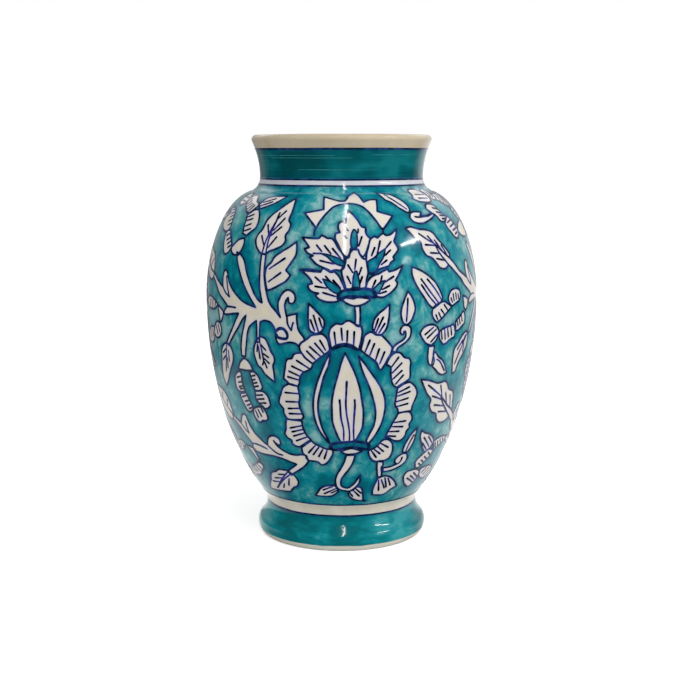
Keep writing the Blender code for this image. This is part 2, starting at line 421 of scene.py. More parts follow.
@dataclass
class Wall:
    """The vase's five turned pieces, each standing for a section of the frame."""

    outline: Outline
    steps: int = 480
    outside_step: float = 0.0010
    inside_steps: int = 28
    collar_rows: int = 13
    lip_rows: int = 7
    lip_round_steps: int = 8
    floor_thickness: float = 0.0100
    foot_chamfer: float = 0.0010

    def build(self) -> dict[str, Object]:
        """Turns the five pieces, which meet without a gap where the slip joins them.

        Returns:
            Each piece by the name of the section that it stands for.
        """
        o = self.outline
        half = o.slip_gap / 2
        foot_top, belly = o.foot_top + half, o.belly_line + half
        neck, lip = o.collar_base - half, o.lip_base - half
        bore = o.waist_radius - o.foot_wall
        spigot = bore - o.slip_gap
        chamfer = self.foot_chamfer
        floor = o.spigot_base + self.floor_thickness
        low_radii = (o.belly_radius - o.body_wall, o.belly_drop - o.body_wall)
        high_radii = (low_radii[0] - o.mouth_radius, o.shoulder_rise - o.body_wall)
        floor_angle = math.asin((o.belly_line - floor) / low_radii[1])

        foot = o.outside(0, foot_top, self.outside_step / 2)
        bowl = o.outside(foot_top, belly, self.outside_step)
        shell = o.outside(belly, neck, self.outside_step)
        collar = o.outside(neck, lip, self.outside_step)
        rim = o.outside(lip, o.top, self.outside_step / 4)
        bowl_inside = o.arc((0, o.belly_line), low_radii, 0, -floor_angle, self.inside_steps)
        shell_inside = o.arc((o.mouth_radius, o.shell_base), high_radii, QUARTER_TURN, 0, self.inside_steps)
        bowl_inside[0], shell_inside[-1] = (low_radii[0], belly), (low_radii[0], belly)
        collar_inside = [(self._inner(z), z) for z in np.linspace(lip, neck, self.collar_rows)]
        lip_inside = self._lip_inside(lip)

        def end(run: np.ndarray, at: int) -> Pair:
            """Radius and height of a run's first or last point."""
            return tuple(run[at][:2])

        def cuts(*points: Pair) -> list[tuple[np.ndarray, Finish]]:
            """Bare straight runs from point to point, where pieces join or nothing was glazed."""
            return [(straight_run(pair), Finish.JOINT) for pair in zip(points, points[1:])]

        def lined(*points: Pair) -> tuple[np.ndarray, Finish]:
            """A run through some points of the glazed inside."""
            return straight_run(points), Finish.INSIDE

        foot_runs = [
            (foot, Finish.OUTSIDE),
            *cuts(end(foot, -1), (bore, foot_top), (bore, chamfer), (bore + chamfer, 0), end(foot, 0)),
        ]
        bowl_runs = [
            *cuts((0, o.spigot_base), (spigot, o.spigot_base), (spigot, foot_top), end(bowl, 0)),
            (bowl, Finish.OUTSIDE),
            *cuts(end(bowl, -1), bowl_inside[0]),
            lined(*bowl_inside),
            lined(bowl_inside[-1], (0, floor)),
        ]
        shell_runs = [
            (shell, Finish.OUTSIDE),
            *cuts(end(shell, -1), (o.mouth_radius, neck)),
            lined((o.mouth_radius, neck), shell_inside[0]),
            lined(*shell_inside),
            *cuts(shell_inside[-1], end(shell, 0)),
        ]
        collar_runs = [
            (collar, Finish.OUTSIDE),
            *cuts(end(collar, -1), collar_inside[0]),
            lined(*collar_inside),
            *cuts(collar_inside[-1], end(collar, 0)),
        ]
        lip_runs = [
            (rim, Finish.OUTSIDE),
            (straight_run([end(rim, -1), lip_inside[0]]), Finish.OUTSIDE),
            (straight_run(lip_inside), Finish.OUTSIDE),
            *cuts(lip_inside[-1], end(rim, 0)),
        ]
        return {
            "foot_ring": turned("painted_foot", foot_runs, self.steps, True),
            "lower_bowl": turned("painted_bowl", bowl_runs, self.steps, False),
            "shoulder_shell": turned("painted_shoulder", shell_runs, self.steps, True),
            "neck_collar": turned("painted_collar", collar_runs, self.steps, True),
            "lip_ring": turned("cream_lip", lip_runs, self.steps, True),
        }

    def _inner(self, height: float) -> float:
        """Inner radius of the flare above the neck."""
        o = self.outline
        return o.collar_radius(max(0, height - o.collar_base)) - o.collar_wall

    def _lip_inside(self, base: float) -> list[Pair]:
        """Follows the lip over its inner round and down its inside.

        Args:
            base: height of the lip's lower end.

        Returns:
            Points as radius and height.
        """
        o = self.outline
        shoulder = o.top - o.lip_round
        centre = (self._inner(shoulder) + o.lip_round, shoulder)
        rounding = o.arc(centre, (o.lip_round,) * 2, QUARTER_TURN, math.pi, self.lip_round_steps)
        return rounding + [(self._inner(z), z) for z in np.linspace(shoulder, base, self.lip_rows)[1:]]

    def dress(self, pieces: dict[str, Object], glazes: dict[str, list]) -> None:
        """Gives each piece its glazes and its place in the frame.

        Args:
            pieces: each piece by its section's name.
            glazes: materials by section, in the order of Finish.
        """
        for section, piece in pieces.items():
            for material in glazes[section]:
                piece.data.materials.append(material)
            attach(piece, "root")
            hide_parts(section)
            LOG.info("%s stands for %s, %d faces", piece.name, section, len(piece.data.polygons))


@dataclass(frozen=True)
class Motif:
    """One painted figure: each field holds paths of degrees,millimetres points, with ; between paths."""

    name: str
    reserves: str = ""
    hatches: str = ""
    washes: str = ""
    dark_washes: str = ""
    lines: str = ""
    heavy: str = ""


def read_paths(text: str, turn: float, lift: float) -> list[np.ndarray]:
    """Reads a figure's paths, turned by some degrees round the axis and lifted by some millimetres."""
    paths = [[[float(v) for v in point.split(",")] for point in path.split()] for path in text.split(";")]
    return [np.array(path) + (turn, lift) for path in paths if path]


CENTRE = (
    Motif(
        "sunburst",
        reserves="""-11.5,197.4 -17.4,205.3 -8.5,207.2 -9.4,214 1.6,211.9 4,214.6 7.5,216.3 9.4,214.7
    11.4,211.1 13.9,212.2 18.6,212.6 17.1,206.1 24.2,203.6 18.3,196.1 17.8,196.5 15.8,200.8 12.9,205.8
    9.9,209 5.5,210.4 .1,210.1 -3.9,208.6 -7.3,204.7 -9.8,200.4 -11.4,196.2""",
        lines="-11.3,197.6 -11.7,195.2 -11.6,193; 18.1,197 18.2,195.6 18.1,194.2",
    ),
    Motif(
        "lotus",
        reserves="""-16.7,191.9 -10.2,191.4 -9.2,191.8 -8.6,193.2 -7.3,192.6 -5.6,191.5 -4.2,191.5
    -2.7,189.6 -1.6,186.8 -.3,184.4 .9,182.2 1.1,178.6 1,175.6 -.3,174 -2.6,174.2 -4.3,173.4 -5.5,174.5
    -7.3,175.5 -10,177.3 -11.9,179.8 -12.9,181.2 -11.4,181.9 -13.9,183.4 -15.3,185.7 -13.3,186.4
    -14.5,188.6; -16.1,173.6 -12.4,173.4 -8.2,173 -7.6,174.6 -7,175.2 -5.6,174 -4.2,172.9 -2.8,173.3
    -1.1,171 -.1,168.2 .8,165.5 1.3,163.4 0,162 -1,160.5 -1.6,158.8 -1.1,156.9 -3.3,156.3 -6.4,156.6
    -8.9,158.2 -10.2,160.1 -8.8,161.1 -11.1,161.8 -12.7,163.6 -13.1,165.8 -11.3,166.5 -12,168.6 -13.6,171;
    5.3,186 3.6,184 3,181 1.7,180.4 1.4,177.5 .1,174.6 .1,172 .5,169.5 1.2,166.5 1.8,163.6 2.9,162.8
    4.1,164.2 7,164 8.6,163.6 9.3,164.4 9.8,169 10.5,172.7 10.2,176.4 9.9,179.9 8.5,180.6 7.4,182.7
    6.7,185.2; 3.5,206.5 2.4,204.5 1.8,199.8 .3,200.9 -1.2,199.6 -1.4,196.8 -.6,194.8 -2.5,194.3 -2.7,191.6
    -1.4,188.2 -.3,185 .9,182.2 2.5,181.2 3.3,183.5 3.7,186 5.2,185.4 6.8,185.4 7.4,182.8 8.6,181.2
    9.6,182.7 11.1,187.3 12.1,191.3 10.5,194.1 10.5,197.4 8.9,197.8 7.5,200.9 5.5,204.2; 24.6,196.4 23,194.8
    20.9,193.2 19,192.9 18.1,194.2 16.8,193.2 15.2,191.6 14,192.6 12.1,190.9 11.3,187.7 10.2,183.2 9.9,180
    10.4,176 10.6,172.6 12,171.6 14,173.2 14.9,174.3 17.4,175.3 19.3,176.3 19.9,177.7 21.7,179.4 21.2,181
    23.8,184.9 23.6,186.4 22.4,189.5 23.9,193.2; 25.2,176.2 21.8,173.8 19,172.8 18.4,174.4 16.5,173.2
    14.9,172 12.1,170.6 10.4,168.2 9.5,164.6 9.6,163.4 11.3,163.4 12.6,160.6 14,159 16.2,158.7 18.1,159.9
    19.9,161.7 21.8,164.4 22.3,166.6 21.5,167.9 22.1,169 23.4,171.8; .2,157.4 1.4,158.9 3.6,158.4 4.4,158.2
    6.6,159.1 8.9,158.6 10.6,158.2 10.9,157.2 9,155.4 6.6,154.2 4.6,154.2 2.4,155.3; 5,154 5.3,148 5.2,143.6
    7.1,142.8 7.2,148 7.1,154""",
        washes="""-8.3,183.2 -5.5,182.6 -3,181.5 -.3,180 .9,178.4 1.2,176 -1.1,176.9 -3.6,178.8 -5.6,181.3;
    -7.3,169.2 -4.6,168 -1.7,165.5 -.3,163 -.8,160.5 -3,161.8 -5.5,164.8; 5.2,173.5 4.6,170 4.3,166 4.2,163
    7,163 7,167 6.6,170 6,173.5; 5.2,196.4 4.3,194.1 3.8,190 3.9,186.8 5.2,185.7 6.3,186.8 6.6,190 6.5,194.1
    6,195.9; 18.2,185.6 15.4,183.4 13,180.6 10.6,178.6 10.3,175 10.8,172.6 12,172 13.7,173.4 15.2,177.3
    17,180.8; 17.2,168 15.4,167.3 13.5,165 11.8,162.5 12.5,160.3 14.2,161 15.5,163.5 16.4,166""",
        dark_washes="""-1.6,159.2 -.6,161.6 1.2,162.9 4.2,163.4 7,163.6 9.3,163.7 11.6,163 13.2,161 13.6,159
    11,158.9 8.3,159 4,159.4 .8,158.8 -.4,157.6""",
        hatches="""-10.3,187.8 -8,184.3; -7,187.6 -4.2,183; -3.7,186 -.4,180.8; -8.6,179.3 -3,177.5;
    -10.3,170.2 -7.7,167; -6.2,170.7 -4.2,167.5; -3.3,168.6 -.4,164.1; -10.3,165 -5.8,164.1; -7.2,161.6
    -2.3,159.5; 5.8,180.1 5.2,174.5; 2.5,177 4.4,172.7; 7.9,175.5 6.8,171.4; 8.1,170.5 7.1,166.4; 2.2,170.7
    3.6,166.6; 1.7,198 2.8,195.7; 1.3,193 2.2,191.6; 7.2,196.6 7.1,194.5; 8.6,192.5 7.1,187.3; 16.3,190
    14,180.5; 13.7,186.4 12.1,181.8; 21.2,189.5 18.4,185.9; 20.4,184.8 17.7,181.8; 18.4,179.3 15.9,176.8;
    13.4,168.4 11.8,163.6; 16,170.7 15.2,166.4; 20.9,170.2 16.5,166.6; 19,165.1 15.9,163; 17.6,161.9
    14.6,160.7""",
        lines="-11.5,183.2 -8.3,183.2",
        heavy="-16.6,173.8 -12.5,174 -8,173.2",
    ),
    Motif(
        "pomegranate_rim",
        reserves="""-3.9,129.4 -4.6,134.6 -4.8,138.3 -4.2,141.5 -2,144.1 0,143.8 1.6,145.4 2.9,145.8
    4.7,144.4 6,142.8 7.6,142.5 8,139.9 7.8,136.2 7.3,132.5 6.7,129 3.5,132 .5,132.6 -2.5,131.4; 7.4,129.1
    8.2,133 8.9,137 10.2,138.6 11.6,139.1 13.4,137.5 15.6,137 17.4,134.6 19.2,131.7 20.1,129.9 19.8,126.7
    18.5,123 17.1,119.4 16,117 15.2,117.3 14,121 12,123.6 8.7,127.3; 18,119.9 19.2,123.6 21.1,126.2
    22.5,126.7 24.1,125.9 25.8,123.3 27.9,122.5 28.7,120.4 28.7,116.2 29,112.5 28.7,110.4 27.2,108.8
    25,107.3 23.2,105.7 22.5,106.2 21.1,108.3 20.1,114.1 19.8,118.3; 23.6,105.2 26.1,107.3 28.7,108.3
    30.1,107.5 32.3,104.6 33.4,101 32.8,97.3 31.9,94.1 31.6,90.4 28.3,90.2 25,89.9 24.7,92 23.2,95.2
    23.2,98.8; 25,89.6 28.3,90.2 30.9,89.6 32.3,87.3 32.7,84.6 31.6,82 32.3,79.9 30.9,77.8 30.5,74.6
    28.7,72.3 26.5,72 24,73.1 22.1,74.6 20.3,75.2 21.1,78.3 22.1,80.9 23.2,84.6 24.7,88.3; 12.7,67 13.4,64.1
    15.2,60.9 17.4,59.6 19.6,59.9 21.8,59.9 24.3,61.5 25.2,65.2 25,68.3 24,71.5 21.8,73.6 19.6,73.6
    18.5,72.5 17.2,70.4 15.6,68.6 13.8,67.8; -14,73.6 -19.1,68.8 -18.9,65.2 -17.5,63.3 -16.4,60.4 -14.4,60.2
    -11.9,59.9 -10.4,58.3 -8.9,58.1 -6.8,59.9 -5,63.1 -4,66.2 -4.2,68.3 -7.5,68.8 -10,70.2 -12.2,71.5;
    -24.6,86.2 -25.3,83.6 -25.6,80.4 -26.7,76.7 -25.3,74.1 -23.6,73.1 -23.5,70.9 -22,69.4 -20.2,69.1
    -19.5,69.4 -16.6,72 -14,74.1 -15.5,76.2 -16.6,78.8 -17.3,82 -17.5,85.7; -21.7,108 -22.7,107.5
    -24.6,105.7 -26,101.5 -26.9,98.8 -27.3,96.2 -26.4,94.1 -25.5,92.5 -25.6,90.4 -24.9,87.8 -24,86.4
    -17.6,86.5 -16.6,88.3 -16.9,90.4 -17.8,94.1 -18,96.7 -17.5,100.4 -18,107; -15.7,126.7 -17.3,126.7
    -19.1,125.7 -20,123.3 -21.8,122.8 -22.6,120.9 -23.1,117.3 -23.8,113 -24,110.9 -22.6,109.4 -21.7,108
    -18,107 -17.3,108.3 -16.9,112 -15.5,115.2 -13.3,116.7 -11.9,118.3 -11.3,120.7 -12.6,122 -14.4,124.1;
    -4.6,129.1 -5,133 -5.9,136.2 -7.5,138.1 -9.7,137.8 -11.9,137 -12.9,135.7 -14.4,134.1 -15.8,132.8
    -16.6,131 -16.4,128.3 -15.7,126.7 -14.4,124.1 -12.6,122 -11.3,120.7 -10,122.5 -8.2,124.6 -6.4,126.5
    -5,128.1""",
        hatches="""-2.8,139.4 -2.2,132; -.1,141.7 .3,134.6; 2.3,140.2 2.1,133; 4.9,139.6 4.7,131.7;
    11.1,134.6 9.1,127.3; 12.9,132.5 11.1,125.7; 14.9,129.4 13.4,122.5; 17.1,127.5 15.2,120.4; 23.2,123.8
    20.3,118.3; 24.7,120.2 20.7,114.6; 25,115.7 21.1,110.9; 25.8,113 22.5,107.8; 29.2,105.4 24,102.5;
    29.8,102.5 24,100.4; 29.2,98.6 23.6,97; 29.4,95.2 23.2,93.8; 29.6,84.4 23.2,84.1; 28.5,80.9 22.5,81.7;
    26.9,78.2 21.8,78.6; 25.6,75.1 20.3,76.2; 22.7,68.3 18.5,71.5; 20.5,65.9 17.1,69.6; 18.9,64.6 15.6,67.8;
    17.2,62.3 14.3,67; -16,65.4 -12.4,70.4; -13.7,64.4 -10.6,69.6; -11.1,63.3 -8.8,68.3; -8.4,62 -6.8,67.8;
    -23.5,80.7 -17.8,82.8; -22.9,78.3 -17.5,80.4; -22.4,75.7 -16.8,78.3; -21.3,72.8 -16,75.7; -24,102.6
    -18,102.5; -24,97.1 -18.2,97.4; -23.3,92.9 -17.8,93.6; -23.1,89.8 -16.6,90.2; -18,122.3 -12.8,117.8;
    -20.2,118.8 -15.1,115.7; -21.5,115.7 -16.9,113; -22.2,112.3 -17.3,110.7; -8.4,134.6 -6.2,128.8;
    -10.4,132.8 -6.8,126.7; -12.5,130.7 -8.2,125.2; -13.7,128.1 -10.4,123.3""",
        heavy="-4.5,129 1,131.6 6.7,129",
    ),
    Motif(
        "pomegranate_heart",
        reserves="""1.4,127.4 .1,122.5 -1.3,115.2 -2.8,107.3 -3.9,99.4 -4,91.5 -3.9,86.2 -2.8,80.9 -1.3,75.7
    -.4,73.3 3.5,73.2 6.5,74.6 8,78.3 9.1,82 9.4,88.8 9.1,94.1 8.4,99.4 7.3,107.3 5.4,115.2 3.6,121;
    -4.2,127.8 -6.4,122 -8.2,115.7 -10.2,108.3 -11.7,99 -11.9,92.5 -11.3,86.2 -10,80.9 -7.9,76.2 -5.3,72
    -6.4,75.7 -8.2,80.9 -9.3,86.7 -9.9,92.5 -9.6,99 -8.2,107.3 -6.8,114.1 -5,120.4; 6.7,125.4 7.6,119.9
    8.7,115.2 10.9,108.3 13,100.4 14.2,94.6 14.7,88.8 14.2,83 12.7,78.3 11.3,73.6 12.3,71.5 14.5,75.2
    16.3,79.4 17.8,84.6 18.5,89.4 18.7,94.6 18.2,99.5 17.4,103 14.9,109.4 12,115.2 9.1,121; -.4,67.4
    2.2,68.3 4.6,69 7.2,68.2 9.9,67.2 7.4,65.8 4.2,65.2 1.4,65.7""",
        hatches="""2.1,110.7 1.9,103 1.8,96.7 2.2,90.4 3.1,83.6 3.6,78.3 3.6,74.1; -.8,99.6 -.6,96.7
    -.2,88.3 .9,80.9 1,74.6; 5.4,99.6 5.6,96.2 5.4,88.8 5.3,80.9 5.6,74.6""",
        dark_washes="""-5.2,70 -4.5,72 -2,72.6 0,73 4,73.3 7,73.4 10,72.6 12.3,72.2 13.2,69.6 12,68 9.4,68.6
    6.5,69.4 4.4,69.7 2,69.2 -.5,68.5 -3.6,68.2""",
        heavy="-5.6,69.4 -4.6,71.4; 12.2,71.6 13,68.8",
    ),
    Motif(
        "pomegranate_tail",
        reserves="""2.2,64.6 1.4,60.4 -.2,56.2 -2.4,51.5 -3.3,47.8 -3.2,44.4 -2.2,42 -.6,40.8 2.3,40
    4.9,39.8 7,41.4 8.8,43.5 10.1,46.6 9.9,51.2 8.8,48.6 7.4,45.7 5.6,43.4 3.8,42.1 1.6,42.4 .1,43.6
    -.4,45.8 0,48.3 1.6,51.5 4.1,55.7 5.9,60.4 6.6,64.6; -2.4,41.5 -4.2,44.4 -6.4,43.8 -10,42.8 -12.6,40.9
    -14.4,38.3 -16.2,35.9 -13.3,35.7 -9.7,35.7 -6,36.2 -3.5,37.8 -2,39.4; 5,39.6 4,37.8 4.9,35.7 6.7,34.1
    9.6,32.8 14.2,32 13.1,36.6 12.4,39.8 11.3,41.9 9.6,42.6 8.2,42.2 6.6,40.4""",
        hatches="""-10.9,40.3 -4.6,43.3; -10.6,37.5 -3.1,41.7; -6.2,38.3 -2.4,40.4; 11.9,37.8 8.1,41.5;
    11,35.7 6.7,40.4; 6.8,35.7 4.9,38.8; 13.2,32.8 15.8,31.4""",
    ),
    Motif(
        "buds",
        reserves="""-12.7,155.4 -12.9,146.2 -12.2,139.9 -10,138.2 -7.9,139.4 -6.6,143 -6.8,146.2 -8.2,148.8
    -9.9,151.5; 18.8,154.7 16.7,152 14.5,149.6 12.7,146.2 12,141.5 12.5,139.4 14.2,137.3 15.6,137.5
    17.4,140.4 18.3,144.6 18.7,149.9; 26.7,161.5 25,156.5 23.8,151.5 23.7,147.5 24.8,143.2 26.1,142.3
    27.7,143.6 29.2,147.5 29.9,151.5 29,156.5 27.8,159.5; 20.1,127.6 21,130.3 22.6,132 24.4,133.4 25.6,135
    25.9,137 25.6,138.6 24.9,138.4 25,137.1 24.2,136.7 23.4,138.2 23.6,140.3 24.8,142 26.6,142 28,140.4
    28.2,137.6 27.8,135.2 26.4,132.8 24.4,130.8 22.6,129.2 21.8,126.6""",
        hatches="""-10.8,148.8 -8.9,139.4; -8.6,147.3 -7.5,142; -12,146.2 -10.4,139.9; 14.3,146.7
    12.7,139.9; 16.3,147.5 13.4,138.8; 16.9,143.8 14.5,138.3; 26.6,157.5 26.3,150 26,144""",
    ),
    Motif(
        "low_spray",
        reserves="""18,59.6 18.2,57.5 18.5,54.5 19.2,51.4 19.9,48.6 22,48.8 21.8,51.5 21.4,53 21,55.4
    21.6,57 21.2,59; 21.8,54.9 24.3,54.9 27.2,55.4 29.2,56.6 27.9,57.8 28,59.8 29.8,61.9 32.3,63 34.2,62.4
    35.1,60.3 34.9,57.6 33.2,55.4 30.8,53.9 27.8,52.7 25,52.2 22.4,52; 33.4,63.5 31.2,64 31.2,66.6 32.3,70.8
    34.1,75.1 37,79 36.9,75.1 36.7,70.8 35.6,66.6 34.5,64; 20,47.7 19.6,45.1 18.9,41.9 18.7,38.7 19.3,36.1
    22.5,35.6 26.1,35.3 28.7,36.4 31.2,38.7 34.5,40.3 32.3,43.5 29.8,46.1 26.9,48.2 24,49""",
        hatches="""31.8,60.6 31.7,58.4 30.6,56.7 29,56 26.9,55.4; 35.8,74.5 34.1,69.3 33.2,64.5; 22.7,38.7
    20.9,46.6; 26.1,40.1 22.5,46.6; 27.2,40.6 24.5,47.7; 29.6,41.6 26.5,47.2""",
    ),
)

TRUNK = Motif(
    "trunk",
    reserves="""-14.5,134.7 -14.8,135.9 -15.9,138 -16.9,140.5 -17.3,143.8 -17.5,147.2 -17.3,149.3
    -20.6,148.2 -21.6,147.4 -22.1,150.5 -22.4,153.8 -21.8,156.6 -20.9,158.3 -20.9,157 -20.7,155.4
    -19.4,154.7 -18.4,156 -18,158.6 -18.7,160.8 -20,162.2 -21.7,162.4 -23.2,160.9 -24.4,158.4 -25.2,155.5
    -25.3,152.5 -25,149.5 -24.3,146.6 -26.5,150.4 -28.3,153 -29.7,156.2 -30.4,159.5 -31.3,164 -32.2,170.7
    -32.4,178 -32.5,182 -34.7,182 -34.6,178 -34.4,170 -33.9,162.3 -32.6,154.4 -33.5,154.8 -35.7,157.6
    -38.6,163.9 -41.5,171.3 -44.1,178.1 -47,181.3 -48.6,179.8 -48.4,178.1 -45.9,171.8 -43,165 -40.1,159.2
    -35.7,151.4 -38.2,152.2 -41.1,153.3 -43.7,154.8 -46.6,157.5 -49.5,160.6 -51.7,163.8 -52.8,166.4
    -53.9,169.6 -55.1,171 -56.4,170.2 -56.9,167.6 -56.8,163.4 -56.2,160.6 -60,163.3 -62.9,165.4 -65.5,167.5
    -67,168.6 -66.6,165.6 -64.7,163.8 -62.2,160.6 -59.3,156.4 -55.7,153.3 -52.6,150.4 -53.1,149.7
    -54.9,147.2 -55.6,145.8 -54.6,144.9 -51.7,145.4 -48.4,146.2 -45.2,146.8 -47.1,142.8 -49.4,137.8
    -52,132.8 -54.4,128.2 -53.3,126.4 -51.7,128.9 -48.6,133.9 -45.5,138.9 -42.8,143.9 -40.9,146.1
    -42.1,140.6 -43.6,134.4 -44.6,127.8 -44.8,121.8 -42.6,121.5 -42.3,123.9 -41.5,128.9 -40.5,135.6
    -39.4,139.4 -37.5,141.8 -35.5,143.7 -35.4,138.9 -35.6,133.3 -35.5,131 -34.3,131.5 -34.3,133.3 -34,138.9
    -33.6,143.2 -32.9,143.6 -31.3,144.3 -29,143.6 -27.3,141.1 -26.6,137.8 -26.4,134 -25.8,132 -24.8,131.1
    -22.8,131.9 -20.5,132.6 -18.2,132.2 -16.8,130.6 -16.6,131 -15.8,132.8 -14.5,133.9""",
    lines="""-21.5,147.2 -21.2,143 -19.9,139.7; -18.9,144.2 -19.4,142.2 -19.8,139.5; -53.1,149.8 -50,150
    -47,149.9; -54.2,167.6 -53.1,162.3 -51.7,157.1 -51.1,155.7; -56.2,160.5 -53.9,157.6 -51.1,155.7""",
    heavy="""-26.4,138.4 -25.1,140.1 -23.4,140.3 -22.1,138.8 -21.4,136.3 -21.9,134.7 -23.7,134.5 -25.7,135.3
    -26.4,137.2; -55.7,146.2 -55,145.2""",
)
TALL_LEAF = Motif(
    "tall_leaf",
    reserves="""-24.9,213.3 -27.4,210.9 -29.8,208.6 -31.8,206.5 -34.3,203.6 -35.9,200.9 -36.7,197.4
    -37.1,195.4 -38.7,192.7 -39.3,189.8 -38.3,186.2 -36.3,183.3 -34.9,182.1 -32.4,181.8 -31.4,183.3
    -28.6,184.8 -25.3,187.1 -24.1,189.8 -24.5,192.7 -23.3,195.6 -23.1,199.2 -24.3,200.9 -23.9,206.2
    -24.3,210.9""",
    hatches="""-30.4,205.1 -30.8,200.4 -31.6,195.6 -32.4,189.8 -32.6,182; -30.8,200.4 -32.2,195.6
    -33.6,189.8 -34.6,182; -27.2,206.2 -31,200.9; -26.6,202.1 -31,195.1; -27.2,197.4 -31.8,192.1;
    -28.6,191.8 -32,185.6; -34.7,198.3 -33.1,193.3; -36.5,192.1 -34.3,186.8""",
)
SIDE_LEAF = Motif(
    "side_leaf",
    reserves="""-19,189.4 -22.1,186.2 -25.3,183.6 -28.2,180.4 -29.4,177.4 -31.2,174.9 -31.8,171 -31.2,166
    -30.4,161.6 -28.2,162.6 -25.5,164.6 -22.1,167.5 -20.4,170.7 -22.5,173.5 -20.6,177.5 -18.7,182
    -18.6,186.5""",
    hatches="-23.2,180.2 -30,173.8; -24.6,172 -30,166.5",
)
PLUME = Motif(
    "plume",
    reserves="""-46.4,209.2 -44.4,212.4 -41.2,213.6 -37.5,213.9 -31.4,214.2 -34.3,211.5 -37.5,209.5
    -41.6,207.7 -44.4,207.1""",
    hatches="-37.5,212.7 -44.4,210.4; -38.3,210.9 -45.2,208.3",
)
NODDING_FLOWER = Motif(
    "nodding_flower",
    reserves="""-47.8,113.2 -46.7,116.7 -45,119.2 -43.5,120.3 -41.6,119.4 -40,116.8 -39,113.8 -43.2,113.2;
    -46.7,112 -49.4,110.8 -51.2,107.5 -51.5,104 -51.2,101 -49.8,99.2 -47.4,99.2 -45.5,100 -46,102
    -46.7,105.5 -46.4,109; -45.3,99.2 -48.8,98.2 -49.4,96.5 -48.8,94 -47.7,91 -46.7,88.5 -45.3,87.2 -43.6,88
    -42.2,89.7 -42.6,92 -43.6,94.5 -44.6,97.5; -42.2,89.5 -42.6,87 -41.9,84 -40.5,82 -38.8,82 -37.4,83.3
    -35.7,83.3 -34.4,84.8 -34.6,87.5 -35.7,90.5 -36.7,92 -39.1,91.5 -41.2,90.5; -39.1,101.2 -36,101.8
    -33.9,101 -32.6,99 -32,96 -32,93.5 -33.6,91.5 -35.3,91 -36.3,92.5 -38.4,94.5 -39.4,96.5 -39.4,100;
    -41.3,112.6 -38.6,113 -36.7,111.1 -35.6,107.8 -35,104 -36,102.2 -39.1,101.5 -39.6,103.5 -40.1,107
    -40.7,110.5""",
    hatches="""-49.8,107.6 -46.9,109; -49.4,104.7 -46.7,105.7; -49.4,102 -46.5,103; -48.9,100.9 -46,101.5;
    -48.2,96 -45,97.5; -46.9,93.4 -43.6,94.8; -46,91 -42.9,92.8; -45,89.3 -42.2,90.8; -40,84.7 -41,89;
    -37.9,85.7 -39.4,90; -36.5,88.7 -37.7,91.7; -35.3,99.5 -39.1,98.7; -34.8,97.2 -39.1,96.2; -34.1,94.7
    -37.4,94.2; -38.2,111 -40.5,110; -38.4,108.5 -40.3,107.7; -37.6,106.7 -40,105.7; -37,104.7
    -39.6,103.7""",
)
DROP_LEAF = Motif(
    "drop_leaf",
    reserves="""-33.6,134.7 -31.7,133.9 -30.2,130.6 -29,126.1 -27.9,123.9 -27.7,120.6 -28.5,118.3
    -28.3,113.9 -28.3,108.3 -30.2,110 -32.9,112.8 -34.6,116.1 -35.9,117.2 -36.9,120.6 -37.5,123.9
    -37.3,127.8 -36.3,131.1 -35.6,132.8""",
    hatches="""-32.7,119 -33.5,126.7 -34.4,132.5; -31.5,126.9 -33.8,130; -30.4,122.8 -33.1,125; -30.2,119.2
    -32.7,122.2; -31.5,116.4 -32.5,120; -34.6,121.4 -35,128.9; -35.9,125.6 -35.4,130; -33.6,117.8
    -33,120""",
)
LOW_TRUNK = Motif(
    "low_trunk",
    reserves="""-17.3,63.6 -19.6,63.9 -22.6,63.3 -25.7,63.6 -28.4,64.7 -30.7,66.2 -32.2,67.8 -33.3,69.6
    -33.9,71 -32.6,69.4 -31,68.2 -29.9,69.9 -30.3,72.4 -32.2,74.1 -34.5,74.1 -36.4,72.7 -37.8,70 -38.3,67.4
    -39.9,68.3 -42.5,71 -45.6,74.4 -47.4,78.5 -48.1,81.5 -48.6,84 -50.1,84.8 -51.9,83.5 -53.2,81 -54.6,78
    -57.4,79.6 -60.1,81.6 -61.8,82.6 -61.9,79.6 -59.1,77.5 -56,74.5 -53.6,71 -51.4,68.4 -50,66.4 -49.9,65.4
    -50.4,63.6 -48.7,61.4 -44.8,60.7 -41,60.4 -37.2,60.6 -33.3,60.2 -29.5,59.3 -26.5,58.2 -23.4,57.1
    -25.7,54.9 -28.4,52.7 -29.9,51.3 -28.4,48.8 -25.7,51 -22.6,53.2 -18.8,56.6 -16.5,59.9 -17.2,61.4""",
    lines="""-50,66 -46.8,66.3 -42.9,65.7 -39.5,64.6; -38.1,67 -35.6,64.4 -33.3,62.7 -30.3,62.1; -50.1,80.2
    -50.3,76.5 -49.9,72.8; -54.6,78 -52.2,74.5 -49.9,72.6""",
    heavy="-17.3,63.6 -17.4,61.4",
)
LOW_LEAF = Motif(
    "low_leaf",
    reserves="""-29.9,51.6 -33.3,51.8 -36.4,51.3 -38.7,49.6 -41.4,48.8 -43.7,46.6 -45.6,43.2 -47.9,40.4
    -50.2,37.7 -52.1,34.9 -48.7,35.2 -44.8,35.2 -41,35.7 -37.2,36 -33.3,36.6 -31.4,38.2 -29.5,39.9
    -26.5,41.6 -24.9,44.3 -25.5,47.1 -26.8,49.1""",
    hatches="""-43.7,37.1 -41,39.3 -35.3,44.4 -28.8,49.4; -41,39.3 -35.8,45.1 -30.2,50.8; -37.6,47.9
    -31.8,48.8; -41.6,44.6 -36,45.7; -44.8,41.8 -39.1,42.4; -32.6,41 -30.7,46; -37.6,38.5 -35.6,41.6""",
)
